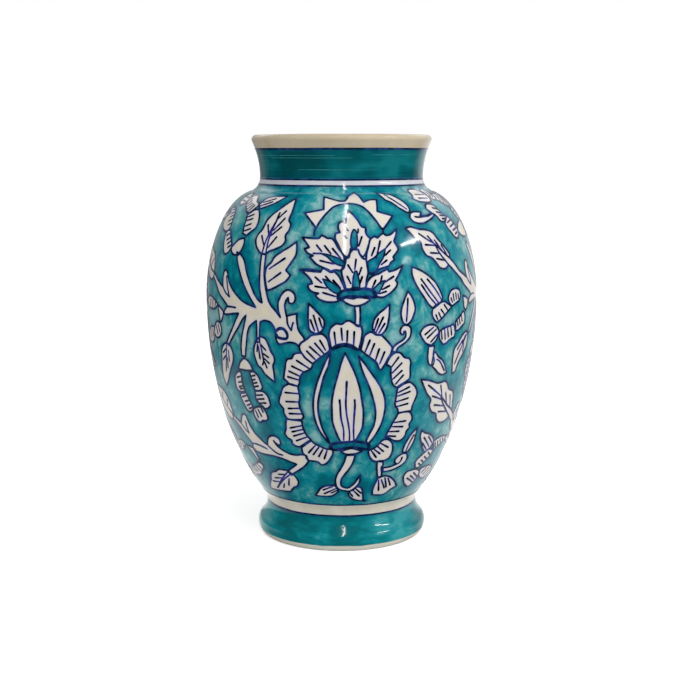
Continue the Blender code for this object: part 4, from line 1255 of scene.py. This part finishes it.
@dataclass
class Painter:
    """Lays the ornament's fills and lines on the wall with two node trees."""

    outline: Outline
    ornament: Ornament
    skin_steps: int = 540
    skin_step: float = 0.0006
    skin_margin: float = 0.0005
    film_depth: float = 0.0001
    facing_share: float = 0.7
    bleed_reach: float = 0.0011
    bleed_fall: float = 1.2
    band_steps: int = 360
    band_row_mm: float = 0.5
    band_least_rows: int = 4
    band_wave_mm: float = 0.2

    def __post_init__(self) -> None:
        """Turns the guide that rays meet, builds the two trees and finds where the lines lie."""
        self.skin = self._guide()
        self.film_tree = self._tree("lay_film", False)
        self.brush_tree = self._tree("lay_brush", True)
        strokes = self.ornament.strokes + self.ornament.hatching
        places = np.concatenate([self.outline.point(stroke.points) for stroke in strokes])
        self.line_reach = np.concatenate([stroke.half_widths for stroke in strokes])
        self.lines = kdtree.KDTree(len(places))
        for index, place in enumerate(places):
            self.lines.insert(place, index)
        self.lines.balance()

    def _guide(self) -> Object:
        """Turns the bare outside as a sheet that keeps its smooth normals.

        Returns:
            The sheet, which rays meet.
        """
        low, high = self.skin_margin, self.outline.top - self.skin_margin
        rows = self.outline.outside(low, high, self.skin_step)
        skin = turned("skin_guide", [(rows, Finish.OUTSIDE)], self.skin_steps, False)
        kept = skin.data.attributes.new(SKIN_NORMAL, "FLOAT_VECTOR", "POINT")
        kept.data.foreach_set("vector", self._normals(read(skin.data.vertices, "co", 3)).ravel())
        return skin

    def _normals(self, places: np.ndarray) -> np.ndarray:
        """Finds the wall's smooth normals.

        Args:
            places: rows of x, y and z on the wall.

        Returns:
            One normal for each place.
        """
        _, across, up = self.outline.at(places[:, 2])
        flat = places[:, :2] / np.maximum(np.hypot(places[:, 0], places[:, 1])[:, None], SAME_PLACE)
        return np.column_stack([flat * across[:, None], up])

    def _tree(self, name: str, brushed: bool) -> NodeTree:
        """Builds a tree that lays a chart's mesh on the skin, as a film or as brushed lines.

        Args:
            name: the tree's name.
            brushed: whether the chart's edges become lines of their own half width.

        Returns:
            The node tree.
        """
        tree = bpy.data.node_groups.new(name, "GeometryNodeTree")
        tree.is_modifier = True
        inputs = {"Chart": "Geometry", "Skin": "Object", "Lift": "Float", "Glaze": "Material"}
        for label, kind in inputs.items():
            tree.interface.new_socket(label, in_out="INPUT", socket_type=f"NodeSocket{kind}")
        tree.interface.new_socket("Painted", in_out="OUTPUT", socket_type="NodeSocketGeometry")
        given = add(tree, "NodeGroupInput").outputs
        skin = add(tree, "GeometryNodeObjectInfo", {"Object": given["Skin"]}, transform_space="RELATIVE")
        place = add(tree, "ShaderNodeSeparateXYZ", {0: add(tree, "GeometryNodeInputPosition")})
        sine = add(tree, "ShaderNodeMath", {0: place.outputs["X"]}, operation="SINE")
        cosine = add(tree, "ShaderNodeMath", {0: place.outputs["X"]}, operation="COSINE")
        forward = add(tree, "ShaderNodeMath", {0: cosine, 1: -1.0}, operation="MULTIPLY")
        ray = add(tree, "ShaderNodeCombineXYZ", {"X": sine, "Y": forward})
        axis = add(tree, "ShaderNodeCombineXYZ", {"Z": place.outputs["Y"]})
        smooth = add(tree, "GeometryNodeInputNamedAttribute", {"Name": SKIN_NORMAL}, data_type="FLOAT_VECTOR")
        hit = add(
            tree, "GeometryNodeRaycast",
            {"Target Geometry": skin.outputs["Geometry"], "Attribute": smooth,
             "Source Position": axis, "Ray Direction": ray, "Ray Length": 1.0},
            data_type="FLOAT_VECTOR",
        )
        kept = add(
            tree, "GeometryNodeStoreNamedAttribute",
            {"Geometry": given["Chart"], "Name": SKIN_NORMAL, "Value": hit.outputs["Attribute"]},
            data_type="FLOAT_VECTOR", domain="POINT",
        )
        lifted = add(
            tree, "ShaderNodeVectorMath", {0: hit.outputs["Attribute"], "Scale": given["Lift"]},
            operation="SCALE",
        )
        target = add(
            tree, "ShaderNodeVectorMath", {0: hit.outputs["Hit Position"], 1: lifted}, operation="ADD"
        )
        laid = add(tree, "GeometryNodeSetPosition", {"Geometry": kept, "Position": target})
        shape = laid
        if brushed:
            up = add(tree, "GeometryNodeInputNamedAttribute", {"Name": SKIN_NORMAL}, data_type="FLOAT_VECTOR")
            half = add(tree, "GeometryNodeInputNamedAttribute", {"Name": HALF_WIDTH}, data_type="FLOAT")
            path = add(tree, "GeometryNodeMeshToCurve", {"Mesh": shape})
            facing = add(tree, "GeometryNodeSetCurveNormal", {"Curve": path, "Normal": up}, mode="FREE")
            edge = add(tree, "GeometryNodeCurvePrimitiveLine", {"Start": (0, -1, 0), "End": (0, 1, 0)})
            ribbon = add(
                tree, "GeometryNodeCurveToMesh", {"Curve": facing, "Profile Curve": edge, "Scale": half}
            )
            shape = ribbon
        joined = add(tree, "GeometryNodeMergeByDistance", {"Geometry": shape, "Distance": 1e-6})
        single = add(tree, "GeometryNodeRealizeInstances", {"Geometry": joined})
        glazed = add(tree, "GeometryNodeSetMaterial", {"Geometry": single, "Material": given["Glaze"]})
        add(tree, "NodeGroupOutput", {0: glazed})
        return tree

    def bleed(self, places: np.ndarray) -> np.ndarray:
        """The share of cobalt, from 0 to 1, that has run into the glaze at some places on the wall."""
        gaps = np.array([max(0, gap - self.line_reach[i]) for _, i, gap in map(self.lines.find, places)])
        return np.exp(-((gaps / self.bleed_reach) ** self.bleed_fall))

    def mark_wash(self, piece: Object) -> None:
        """Keeps on a piece's points how much cobalt ran into the wash, and how much paler or deeper the wash
        is painted there: partly its own unevenness and partly painted light and shade.

        Args:
            piece: a piece of the wall.
        """
        places = read(piece.data.vertices, "co", 3)
        radii = np.hypot(places[:, 0], places[:, 1])
        turns = np.degrees(np.arctan2(places[:, 0], -places[:, 1]))
        half = REPEAT_DEGREES / 2
        thin = np.zeros(len(places))
        # Painted light and shade in part: each spot makes the wash paler or deeper round its place, on each
        # repeat.
        for spot in WASH_AND_LIGHT_SPOTS:
            across = np.radians((turns - spot.degrees + half) % REPEAT_DEGREES - half) * radii
            gaps = np.hypot(across, places[:, 2] - spot.height_mm * MM)
            thin += spot.share * np.exp(-((gaps / (spot.reach_mm * MM)) ** 2))
        keep_amounts(piece.data, BLEED, self.bleed(places))
        keep_amounts(piece.data, PALE_WASH_AND_LIGHT, thin)

    def _lay(self, mesh: Mesh, layer: Layer, glaze: Material, tree: NodeTree) -> None:
        """Lays a chart's mesh on the wall as one thin closed piece.

        Args:
            mesh: the chart, with angle and height as x and y; the piece takes its name.
            layer: how far its face stands off the wall.
            glaze: its material.
            tree: what lays it.
        """
        piece = bpy.data.objects.new(mesh.name, mesh)
        bpy.context.scene.collection.objects.link(piece)
        laying = piece.modifiers.new("Laid", "NODES")
        laying.node_group = tree
        lift = layer.value * MM
        values = {"Skin": self.skin, "Lift": lift, "Glaze": glaze}
        for socket in tree.interface.items_tree:
            if socket.in_out == "INPUT" and socket.name in values:
                laying[socket.identifier] = values[socket.name]
        body = piece.modifiers.new("Body", "SOLIDIFY")
        body.thickness = lift + self.film_depth
        body.offset = -1.0
        baked(piece)
        self._finish(piece)
        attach(piece, "root")
        LOG.info("%s laid on the wall, %d faces", piece.name, len(piece.data.polygons))

    def _finish(self, piece: Object) -> None:
        """Gives a painted piece the wall's normals on its face, and a map that unrolls it.

        Args:
            piece: the painted piece.
        """
        mesh = piece.data
        places = read(mesh.vertices, "co", 3)
        faces = read(mesh.polygons, "normal", 3)
        starts = read(mesh.polygons, "loop_start", kind=int)
        totals = read(mesh.polygons, "loop_total", kind=int)
        corners = read(mesh.loops, "vertex_index", kind=int)
        owner = np.repeat(np.arange(len(totals)), totals)
        wall = self._normals(places)[corners]
        facing = (wall * faces[owner]).sum(1)
        normals = np.where((facing > self.facing_share)[:, None], wall, faces[owner])
        mesh.shade_smooth()
        mesh.normals_split_custom_set(normals)
        turns = np.arctan2(places[:, 0], -places[:, 1])[corners]
        first = turns[starts][owner]
        turns = first + (turns - first + math.pi) % FULL_TURN - math.pi
        maps = np.column_stack([turns / FULL_TURN + 0.5, places[corners][:, 2] / self.outline.top])
        mesh.uv_layers.new(name=BAKE_MAP).data.foreach_set("uv", maps.ravel())

    def _film(self, name: str, points: list, faces: list, layer: Layer, glaze: Material) -> None:
        """Lays faces of the chart, which keep how much cobalt ran into them.

        Args:
            name: the piece's name.
            points: angle, height and 0 of each point.
            faces: the points of each face.
            layer: how far the film stands off the wall.
            glaze: its material.
        """
        mesh = bpy.data.meshes.new(name)
        mesh.from_pydata(points, [], faces)
        keep_amounts(mesh, BLEED, self.bleed(self.outline.point(np.array(points)[:, :2])))
        self._lay(mesh, layer, glaze, self.film_tree)

    def films(self, name: str, groups: list, layer: Layer, glaze: Material) -> None:
        """Lays the fills of one layer.

        Args:
            name: the piece's name.
            groups: outlines of each figure.
            layer: the layer.
            glaze: its material.
        """
        points, faces = [], []
        for outlines in groups:
            chart, triangles = self.ornament.filled(outlines)
            faces += [[corner + len(points) for corner in triangle] for triangle in triangles]
            points += [(x, y, 0) for x, y in chart]
        self._film(name, points, faces, layer, glaze)

    def band(self, name: str, edges_mm: Pair, glaze: Material) -> None:
        """Lays a band of slip right round the wall, with edges as even as a hand keeps them.

        Args:
            name: the piece's name.
            edges_mm: heights of its lower and upper edge.
            glaze: its material.
        """
        columns = self.band_steps
        rows = max(self.band_least_rows, round((edges_mm[1] - edges_mm[0]) / self.band_row_mm))
        turns = np.linspace(-math.pi, math.pi, columns + 1)
        low, high = (edge + self.ornament.wave(turns, self.band_wave_mm) for edge in edges_mm)
        shares = np.linspace(0, 1, rows + 1)
        points = [(t, (a + (b - a) * s) * MM, 0) for s in shares for t, a, b in zip(turns, low, high)]
        corners = [row * (columns + 1) + column for row in range(rows) for column in range(columns)]
        faces = [[at, at + 1, at + columns + 2, at + columns + 1] for at in corners]
        self._film(name, points, faces, Layer.SLIP, glaze)

    def brushwork(self, name: str, strokes: list[Stroke], glaze: Material) -> None:
        """Lays painted lines as one piece.

        Args:
            name: the piece's name.
            strokes: the lines.
            glaze: its material.
        """
        points, edges, halves, loads = [], [], [], []
        for stroke in strokes:
            start, count = len(points), len(stroke.points)
            points += [(x, y, 0) for x, y in stroke.points]
            halves += list(stroke.half_widths)
            loads += list(stroke.loads)
            edges += [(start + i, start + i + 1) for i in range(count - 1)]
            if stroke.closed:
                edges.append((start + count - 1, start))
        mesh = bpy.data.meshes.new(name)
        mesh.from_pydata(points, edges, [])
        keep_amounts(mesh, HALF_WIDTH, halves)
        keep_amounts(mesh, LOAD, loads)
        self._lay(mesh, Layer.LINE, glaze, self.brush_tree)

    def clear(self) -> None:
        """Takes the guide away."""
        bpy.data.objects.remove(self.skin)


@dataclass(frozen=True)
class Fired:
    """A fired surface: colour under clear glaze, glossy and faintly wavy, unless a finish says otherwise."""

    name: str
    roughness: float = 0.11
    ior: float = 1.45
    wave_mm: float = 11.0
    wave_height_mm: float = 0.2
    wave_detail: float = 1.0

    def shell(self) -> tuple[Material, NodeTree, Node, NodeSocket]:
        """Starts the material with its gloss and waviness.

        Returns:
            The material, its tree, its shader and the coordinates that its patterns read.
        """
        material = bpy.data.materials.new(self.name)
        material.use_nodes = True
        tree = material.node_tree
        shader = tree.nodes["Principled BSDF"]
        shader.inputs["Roughness"].default_value = self.roughness
        shader.inputs["IOR"].default_value = self.ior
        place = add(tree, "ShaderNodeTexCoord").outputs["Object"]
        scale = 1 / (self.wave_mm * MM)
        wave = add(tree, "ShaderNodeTexNoise", {"Vector": place, "Scale": scale, "Detail": self.wave_detail})
        bump = add(
            tree, "ShaderNodeBump", {"Height": wave, "Strength": 1.0, "Distance": self.wave_height_mm * MM}
        )
        tree.links.new(bump.outputs[0], shader.inputs["Normal"])
        return material, tree, shader, place


@dataclass(frozen=True)
class WashGlaze(Fired):
    """Teal underglaze washed on with a wet brush: pale watery patches, soft brush marks, and spots painted
    paler or deeper, partly the wash's own and partly painted light and shade.
    """

    tones: tuple[str, ...] = ("7aaeb0", "489597", "1a8590", "007886", "006472")
    thin_end: float = 0.38
    deep_end: float = 0.62
    spot_share: float = 0.07
    line: str = "043c64"
    line_share: float = 0.55
    patch_mm: float = 30.0
    mark_mm: float = 6.0
    mark_share: float = 0.45
    mark_lean: Triple = (0.8, 0.7, 0.0)
    mark_stretch: Triple = (1.0, 1.0, 0.75)
    cream: str = ""
    cream_edge_mm: float = 3.8
    cream_sway_mm: float = 1.6
    cream_ragged_mm: float = 50 / 3
    cream_blur_mm: Pair = (-0.2, 0.3)

    def material(self) -> Material:
        """Builds the material.

        Returns:
            The finished glaze.
        """
        material, tree, shader, place = self.shell()
        patch = add(
            tree, "ShaderNodeTexNoise",
            {"Vector": place, "Scale": 1 / (self.patch_mm * MM), "Detail": 2.0, "Roughness": 0.5,
             "Distortion": 0.5},
        )
        drawn = add(
            tree, "ShaderNodeMapping",
            {"Vector": place, "Rotation": self.mark_lean, "Scale": self.mark_stretch},
        )
        mark = add(
            tree, "ShaderNodeTexNoise",
            {"Vector": drawn, "Scale": 1 / (self.mark_mm * MM), "Detail": 3.0, "Roughness": 0.6,
             "Distortion": 0.5},
        )
        wet = add(
            tree, "ShaderNodeMix", {"Factor": self.mark_share, "A": patch, "B": mark}, data_type="FLOAT"
        )
        # Painted light and shade in part: the spots' amount turns the wash paler or deeper.
        spot = add(tree, "ShaderNodeAttribute", attribute_name=PALE_WASH_AND_LIGHT)
        depth = add(
            tree, "ShaderNodeMath", {0: spot.outputs["Fac"], 1: -self.spot_share, 2: wet},
            operation="MULTIPLY_ADD",
        )
        places = np.linspace(self.thin_end, self.deep_end, len(self.tones))
        wash = add(
            tree, "ShaderNodeValToRGB", {"Fac": depth},
            stops=tuple((float(at), linear(tone)) for at, tone in zip(places, self.tones)),
        )
        run = add(tree, "ShaderNodeAttribute", attribute_name=BLEED)
        soft = add(tree, "ShaderNodeMath", {0: run.outputs["Fac"], 1: self.line_share}, operation="MULTIPLY")
        lined = add(
            tree, "ShaderNodeMix", {"Factor": soft, "A": wash, "B": linear(self.line)}, data_type="RGBA"
        )
        colour = lined.outputs["Result"]
        if self.cream:
            height = add(tree, "ShaderNodeSeparateXYZ", {0: place})
            ragged = add(
                tree, "ShaderNodeTexNoise",
                {"Vector": place, "Scale": 1 / (self.cream_ragged_mm * MM), "Detail": 2.0},
            )
            sway = self.cream_sway_mm
            edge = add(
                tree, "ShaderNodeMath",
                {0: ragged, 1: sway * MM, 2: (self.cream_edge_mm - sway / 2) * MM},
                operation="MULTIPLY_ADD",
            )
            over = add(tree, "ShaderNodeMath", {0: height.outputs["Z"], 1: edge}, operation="SUBTRACT")
            low, high = self.cream_blur_mm
            share = add(
                tree, "ShaderNodeMapRange", {"Value": over, "From Min": low * MM, "From Max": high * MM}
            )
            edged = add(
                tree, "ShaderNodeMix", {"Factor": share, "A": linear(self.cream), "B": colour},
                data_type="RGBA",
            )
            colour = edged.outputs["Result"]
        tree.links.new(colour, shader.inputs["Base Color"])
        return material


@dataclass(frozen=True)
class SlipGlaze(Fired):
    """Cream-white slip under clear glaze, warm, faintly clouded, and bluish where cobalt has run into it."""

    white: str = "d9d1bc"
    cloud: str = "cfc7b2"
    run: str = "b4bce6"
    cloud_mm: float = 12.0
    cloud_spread: Pair = (0.35, 0.65)
    run_share: float = 0.5

    def material(self) -> Material:
        """Builds the material.

        Returns:
            The finished glaze.
        """
        material, tree, shader, place = self.shell()
        noise = add(
            tree, "ShaderNodeTexNoise", {"Vector": place, "Scale": 1 / (self.cloud_mm * MM), "Detail": 3.0}
        )
        base = add(
            tree, "ShaderNodeValToRGB", {"Fac": noise},
            stops=tuple(zip(self.cloud_spread, (linear(self.cloud), linear(self.white)))),
        )
        ran = add(tree, "ShaderNodeAttribute", attribute_name=BLEED)
        share = add(tree, "ShaderNodeMath", {0: ran.outputs["Fac"], 1: self.run_share}, operation="MULTIPLY")
        tinted = add(
            tree, "ShaderNodeMix", {"Factor": share, "A": base, "B": linear(self.run)}, data_type="RGBA"
        )
        tree.links.new(tinted.outputs["Result"], shader.inputs["Base Color"])
        return material


@dataclass(frozen=True)
class CobaltGlaze(Fired):
    """Cobalt painted with a fine brush under the glaze: near black where it lies thick, violet where thin."""

    thick: str = "05080f"
    even: str = "0b2046"
    thin: str = "243a7c"
    tone_places: Triple = (0.55, 0.76, 1.0)
    load_share: float = 0.6
    pool_mm: float = 4.0

    def material(self) -> Material:
        """Builds the material.

        Returns:
            The finished glaze.
        """
        material, tree, shader, place = self.shell()
        noise = add(
            tree, "ShaderNodeTexNoise", {"Vector": place, "Scale": 1 / (self.pool_mm * MM), "Detail": 2.0}
        )
        load = add(tree, "ShaderNodeAttribute", attribute_name=LOAD)
        depth = add(
            tree, "ShaderNodeMath",
            {0: load.outputs["Fac"], 1: self.load_share, 2: noise}, operation="MULTIPLY_ADD",
        )
        tones = [linear(tone) for tone in (self.thin, self.even, self.thick)]
        ink = add(tree, "ShaderNodeValToRGB", {"Fac": depth}, stops=tuple(zip(self.tone_places, tones)))
        tree.links.new(ink.outputs["Color"], shader.inputs["Base Color"])
        return material


@dataclass(frozen=True)
class BareClay(Fired):
    """Fired clay left unglazed under the foot and in the joints: pale, matt and gritty."""

    name: str = "bare_fired_clay"
    roughness: float = 0.75
    ior: float = 1.5
    wave_mm: float = 1.2
    wave_height_mm: float = 0.1
    wave_detail: float = 4.0
    light: str = "d8cdb8"
    dark: str = "c2b49b"
    grit_spread: Pair = (0.35, 0.65)

    def material(self) -> Material:
        """Builds the material.

        Returns:
            The finished clay.
        """
        material, tree, shader, place = self.shell()
        scale = 1 / (self.wave_mm * MM)
        grit = add(tree, "ShaderNodeTexNoise", {"Vector": place, "Scale": scale, "Detail": self.wave_detail})
        shade = add(
            tree, "ShaderNodeValToRGB", {"Fac": grit},
            stops=tuple(zip(self.grit_spread, (linear(self.dark), linear(self.light)))),
        )
        tree.links.new(shade.outputs["Color"], shader.inputs["Base Color"])
        return material


@dataclass(frozen=True)
class Lamp:
    """A soft rectangular lamp: where it hangs, what it faces, its sides and its watts."""

    name: str
    place: Triple
    aim: Triple
    size: Pair
    watts: float
    mirrored: bool = True

    def hang(self) -> None:
        """Puts the lamp in the scene, and out of the glaze's reflections where it isn't mirrored."""
        light = bpy.data.lights.new(self.name, "AREA")
        light.shape = "RECTANGLE"
        light.size, light.size_y = self.size
        light.energy = self.watts
        lamp = bpy.data.objects.new(self.name, light)
        lamp.location = self.place
        lamp.visible_glossy = self.mirrored
        lamp.rotation_euler = (Vector(self.aim) - Vector(self.place)).to_track_quat("-Z", "Y").to_euler()
        bpy.context.scene.collection.objects.link(lamp)


LAMPS = (
    Lamp("overhead_strip", (0.04, -0.55, 1.0), (0.04, -0.05, 0.15), (0.016, 1.2), 3.6),
    Lamp("window_bar", (0.95, -0.42, 0.74), (0, 0, 0.15), (0.42, 0.035), 2.6),
    Lamp("window_sill", (0.88, -0.58, 0.5), (0, 0, 0.1), (0.16, 0.025), 0.22),
    Lamp("high_softbox", (0.7, -0.8, 1.5), (0, 0, 0.12), (1.4, 1.4), 8.0, False),
)


@dataclass(frozen=True)
class Studio:
    """A white sweep with soft light all round, an overhead strip lamp and a low window at the right.

    The mirror fields are how bright the surroundings are in the glaze, apart from the light that they give.
    The span fields are where that brightness starts and ends to change, by direction or by distance.
    """

    camera_place: Triple = (0.0, -0.7714, 0.2392)
    camera_dip: float = math.radians(8.704)
    lens_mm: float = 65.02
    sensor_mm: float = 36.0
    floor_reach: float = 30.0
    floor_white: str = "f4f4f4"
    floor_glow: float = 0.56
    soft_level: float = 0.58
    mirror_room: float = 0.02
    mirror_sweep: Pair = (0.45, 0.75)
    mirror_high: float = 2.2
    mirror_window: float = 0.25
    mirror_near_floor: float = 1.1
    mirror_far_floor: Pair = (0.28, 0.95)
    side_span: Pair = (-0.4, 0.4)
    behind_span: Pair = (0.4, 0.9)
    window_span: Pair = (0.3, 1.0)
    rise_span: Pair = (0.2, 0.55)
    across_span: Pair = (0.12, 0.4)
    near_span: Pair = (-0.7, 0.2)
    away_span: Pair = (0.2, 0.6)

    def build(self) -> None:
        """Sets the camera, the floor, the world and the lamps."""
        scene = bpy.context.scene
        scene.view_settings.view_transform = "Standard"
        lens = bpy.data.cameras.new("photo_camera")
        lens.lens, lens.sensor_width = self.lens_mm, self.sensor_mm
        camera = bpy.data.objects.new("photo_camera", lens)
        camera.location = self.camera_place
        camera.rotation_euler = (QUARTER_TURN - self.camera_dip, 0, 0)
        scene.collection.objects.link(camera)
        scene.camera = camera
        self._floor()
        self._world(scene)
        for lamp in LAMPS:
            lamp.hang()

    def _floor(self) -> None:
        """Lays the pale floor, whose brightness in the glaze is set apart from its own white."""
        mesh = bpy.data.meshes.new("floor")
        reach = self.floor_reach
        corners = [(-reach, -reach, 0), (reach, -reach, 0), (reach, reach, 0), (-reach, reach, 0)]
        mesh.from_pydata(corners, [], [(0, 1, 2, 3)])
        floor = bpy.data.objects.new("floor", mesh)
        bpy.context.scene.collection.objects.link(floor)
        material = bpy.data.materials.new("matt_white_paper")
        material.use_nodes = True
        tree = material.node_tree
        tree.nodes.clear()
        paper = add(tree, "ShaderNodeBsdfDiffuse", {"Color": linear(self.floor_white)})
        lift = add(tree, "ShaderNodeMath", {0: self._seen(tree), 1: self.floor_glow}, operation="MULTIPLY")
        glow = add(tree, "ShaderNodeEmission", {"Strength": lift})
        both = add(tree, "ShaderNodeAddShader", {0: paper, 1: glow})
        place = add(tree, "ShaderNodeTexCoord").outputs["Object"]
        away = add(tree, "ShaderNodeVectorMath", {0: place}, operation="LENGTH")
        toward = add(tree, "ShaderNodeVectorMath", {0: place}, operation="NORMALIZE")
        part = add(tree, "ShaderNodeSeparateXYZ", {0: toward}).outputs
        near = self._ease(tree, part["Y"], self.near_span, (self.mirror_room, self.mirror_near_floor))
        side = self._ease(tree, part["X"], self.side_span, self.mirror_far_floor)
        behind = self._ease(tree, part["Y"], self.behind_span, (self.mirror_room, 1.0))
        far = add(tree, "ShaderNodeMath", {0: side, 1: behind}, operation="MULTIPLY")
        share = self._ease(tree, away.outputs["Value"], self.away_span, (0.0, 1.0))
        mirrored = add(tree, "ShaderNodeMix", {"Factor": share, "A": near, "B": far}, data_type="FLOAT")
        image = add(tree, "ShaderNodeEmission", {"Strength": mirrored})
        glossy = add(tree, "ShaderNodeLightPath").outputs["Is Glossy Ray"]
        shown = add(tree, "ShaderNodeMixShader", {0: glossy, 1: both, 2: image})
        add(tree, "ShaderNodeOutputMaterial", {"Surface": shown})
        mesh.materials.append(material)

    @staticmethod
    def _seen(tree: NodeTree) -> Node:
        """Tells whether the camera sees a place, straight or through something clear.

        Args:
            tree: the node tree.

        Returns:
            A node that gives 1 where it does, and 0 elsewhere.
        """
        path = add(tree, "ShaderNodeLightPath").outputs
        return add(
            tree, "ShaderNodeMath", {0: path["Is Camera Ray"], 1: path["Is Transmission Ray"]},
            operation="MAXIMUM",
        )

    @staticmethod
    def _ease(tree: NodeTree, value: Node | NodeSocket, span: Pair, levels: Pair) -> Node:
        """Eases a brightness from one level to another.

        Args:
            tree: the node tree.
            value: what the brightness follows.
            span: the values where it starts and ends.
            levels: the brightness there.

        Returns:
            A node that gives the brightness.
        """
        return add(
            tree, "ShaderNodeMapRange",
            {"Value": value, "From Min": span[0], "From Max": span[1],
             "To Min": levels[0], "To Max": levels[1]},
            interpolation_type="SMOOTHSTEP",
        )

    def _world(self, scene: Scene) -> None:
        """Makes the white surroundings, darker in the glaze on the camera's side where the room is.

        Args:
            scene: the scene that they go round.
        """
        world = bpy.data.worlds.new("white_sweep")
        world.use_nodes = True
        scene.world = world
        tree = world.node_tree
        tree.nodes.clear()
        place = add(tree, "ShaderNodeTexCoord").outputs["Generated"]
        toward = add(tree, "ShaderNodeSeparateXYZ", {0: place}).outputs
        window = self._ease(tree, toward["X"], self.window_span, (0.0, self.mirror_window))
        side = self._ease(tree, toward["X"], self.side_span, self.mirror_sweep)
        rise = self._ease(tree, toward["Z"], self.rise_span, (0.0, 1.0))
        across = add(tree, "ShaderNodeMath", {0: toward["X"]}, operation="ABSOLUTE")
        high = self._ease(tree, across, self.across_span, (0.0, self.mirror_high))
        white = add(tree, "ShaderNodeMix", {"Factor": rise, "A": side, "B": high}, data_type="FLOAT")
        behind = self._ease(tree, toward["Y"], self.behind_span, (self.mirror_room, 1.0))
        image = add(tree, "ShaderNodeMath", {0: white, 1: behind, 2: window}, operation="MULTIPLY_ADD")
        glossy = add(tree, "ShaderNodeLightPath").outputs["Is Glossy Ray"]
        lit = add(
            tree, "ShaderNodeMix", {"Factor": glossy, "A": self.soft_level, "B": image}, data_type="FLOAT"
        )
        level = add(
            tree, "ShaderNodeMix", {"Factor": self._seen(tree), "A": lit, "B": 1.0}, data_type="FLOAT"
        )
        sky = add(tree, "ShaderNodeBackground", {"Color": linear("ffffff"), "Strength": level})
        add(tree, "ShaderNodeOutputWorld", {"Surface": sky})


def fired_finishes() -> dict[str, Material]:
    """Builds every finish of the vase.

    Returns:
        Each material by the part of the vase that has it.
    """
    level = (0.0, 0.0, 0.0)
    looks = {
        "ground": WashGlaze("teal_wash_under_clear_glaze"),
        # Banded on a turning wheel, so it reads deep and even, with fine level streaks.
        "collar": WashGlaze(
            "deep_teal_banded_under_clear_glaze", tones=("0c6d73", "005f66", "00545b", "00494f"),
            patch_mm=22.0, mark_mm=2.0, mark_share=0.3, mark_lean=level, mark_stretch=(0.05, 0.05, 1.0),
        ),
        # Washed round the foot and wiped off its lower edge, which shows cream.
        "foot": WashGlaze(
            "teal_foot_wash_under_clear_glaze", tones=("34999f", "10878f", "067881", "046970"),
            patch_mm=20.0, mark_mm=4.0, mark_lean=level, mark_stretch=(0.3, 0.3, 1.0), cream="d6d4c7",
        ),
        "cream": SlipGlaze("cream_slip_under_clear_glaze", white="d8d3c2", cloud="cdc6b2"),
        "lip": SlipGlaze("buff_lip_under_clear_glaze", white="c1b49c", cloud="b9ac94"),
        "slip": SlipGlaze("white_slip_reserve_under_clear_glaze"),
        "neck": SlipGlaze(
            "pale_slip_neck_band_under_clear_glaze", white="cccfd3", cloud="c1c4c8", run_share=0.15
        ),
        "waist": SlipGlaze(
            "cream_slip_waist_band_under_clear_glaze", white="dcd5c5", cloud="cfc8b6", run_share=0.15
        ),
        # Small dabs inside the petals, which pool finer than the ground does.
        "wash": WashGlaze(
            "teal_wash_on_slip_under_clear_glaze", tones=("3f97a2", "1a8292", "047488", "00647a"),
            patch_mm=9.0, mark_mm=3.5,
        ),
        "dark": WashGlaze(
            "deep_teal_wash_on_slip_under_clear_glaze", tones=("2a8c98", "127a8a", "06627a", "04506a"),
            patch_mm=6.0, mark_mm=3.0,
        ),
        "cobalt": CobaltGlaze("cobalt_line_under_clear_glaze"),
        # Thin strokes on white slip, where cobalt reads violet.
        "violet": CobaltGlaze("violet_cobalt_hatch_under_clear_glaze", even="141648", thin="343084"),
        # Pale teal of the painted glints on the collar.
        "bare": WashGlaze(
            "thin_teal_brush_skip_under_clear_glaze", tones=("4d9697", "3a8b8d", "2a7f83", "1d7378")
        ),
        "clay": BareClay(),
    }
    return {part: look.material() for part, look in looks.items()}


RINGS_MM = ((241.5, 0.12), (223.6, 0.12), (220.1, 0.15), (29.0, 0.2), (21.2, 0.15))
# Painted glints on the collar: each line's height and the degrees where it starts and ends.
GLINTS = ((237.6, -75, -4), (236.2, -52, 8), (238.0, 20, 66), (237.2, 120, 230), (229.4, -30, 24))
NECK_BAND_MM = (220.4, 223.4)
WAIST_BAND_MM = (21.3, 28.8)
WASHED = ("foot_ring", "lower_bowl", "shoulder_shell", "neck_collar")


def main() -> None:
    """Builds the wall, paints it and sets the stage."""
    logging.basicConfig(level=logging.INFO, format="%(name)s: %(message)s")
    outline = Outline()
    ornament = Ornament()
    ornament.paint()
    for height, wave in RINGS_MM:
        ornament.ring(height, wave)
    # Painted glints: thin pale lines on the collar.
    for height, start, end in GLINTS:
        ornament.skip(height, start, end)

    fired = fired_finishes()
    outsides = {
        "foot_ring": "foot", "lower_bowl": "ground", "shoulder_shell": "ground", "neck_collar": "collar",
        "lip_ring": "lip",
    }
    painter = Painter(outline, ornament)
    wall = Wall(outline)
    pieces = wall.build()
    for section in WASHED:
        painter.mark_wash(pieces[section])
    glazes = {section: [fired[part], fired["cream"], fired["clay"]] for section, part in outsides.items()}
    wall.dress(pieces, glazes)

    painter.films("slip_reserves", ornament.reserves, Layer.SLIP, fired["slip"])
    painter.band("neck_slip_band", NECK_BAND_MM, fired["neck"])
    painter.band("waist_slip_band", WAIST_BAND_MM, fired["waist"])
    painter.films("teal_washes", ornament.washes, Layer.WASH, fired["wash"])
    painter.films("deep_teal_washes", ornament.dark_washes, Layer.WASH, fired["dark"])
    painter.brushwork("cobalt_outlines", ornament.strokes, fired["cobalt"])
    painter.brushwork("cobalt_hatching", ornament.hatching, fired["violet"])
    # Painted glints: thin pale lines across the collar.
    painter.brushwork("collar_brush_skips", ornament.glint_lines, fired["bare"])
    painter.clear()
    Studio().build()


if __name__ == "__main__":
    main()
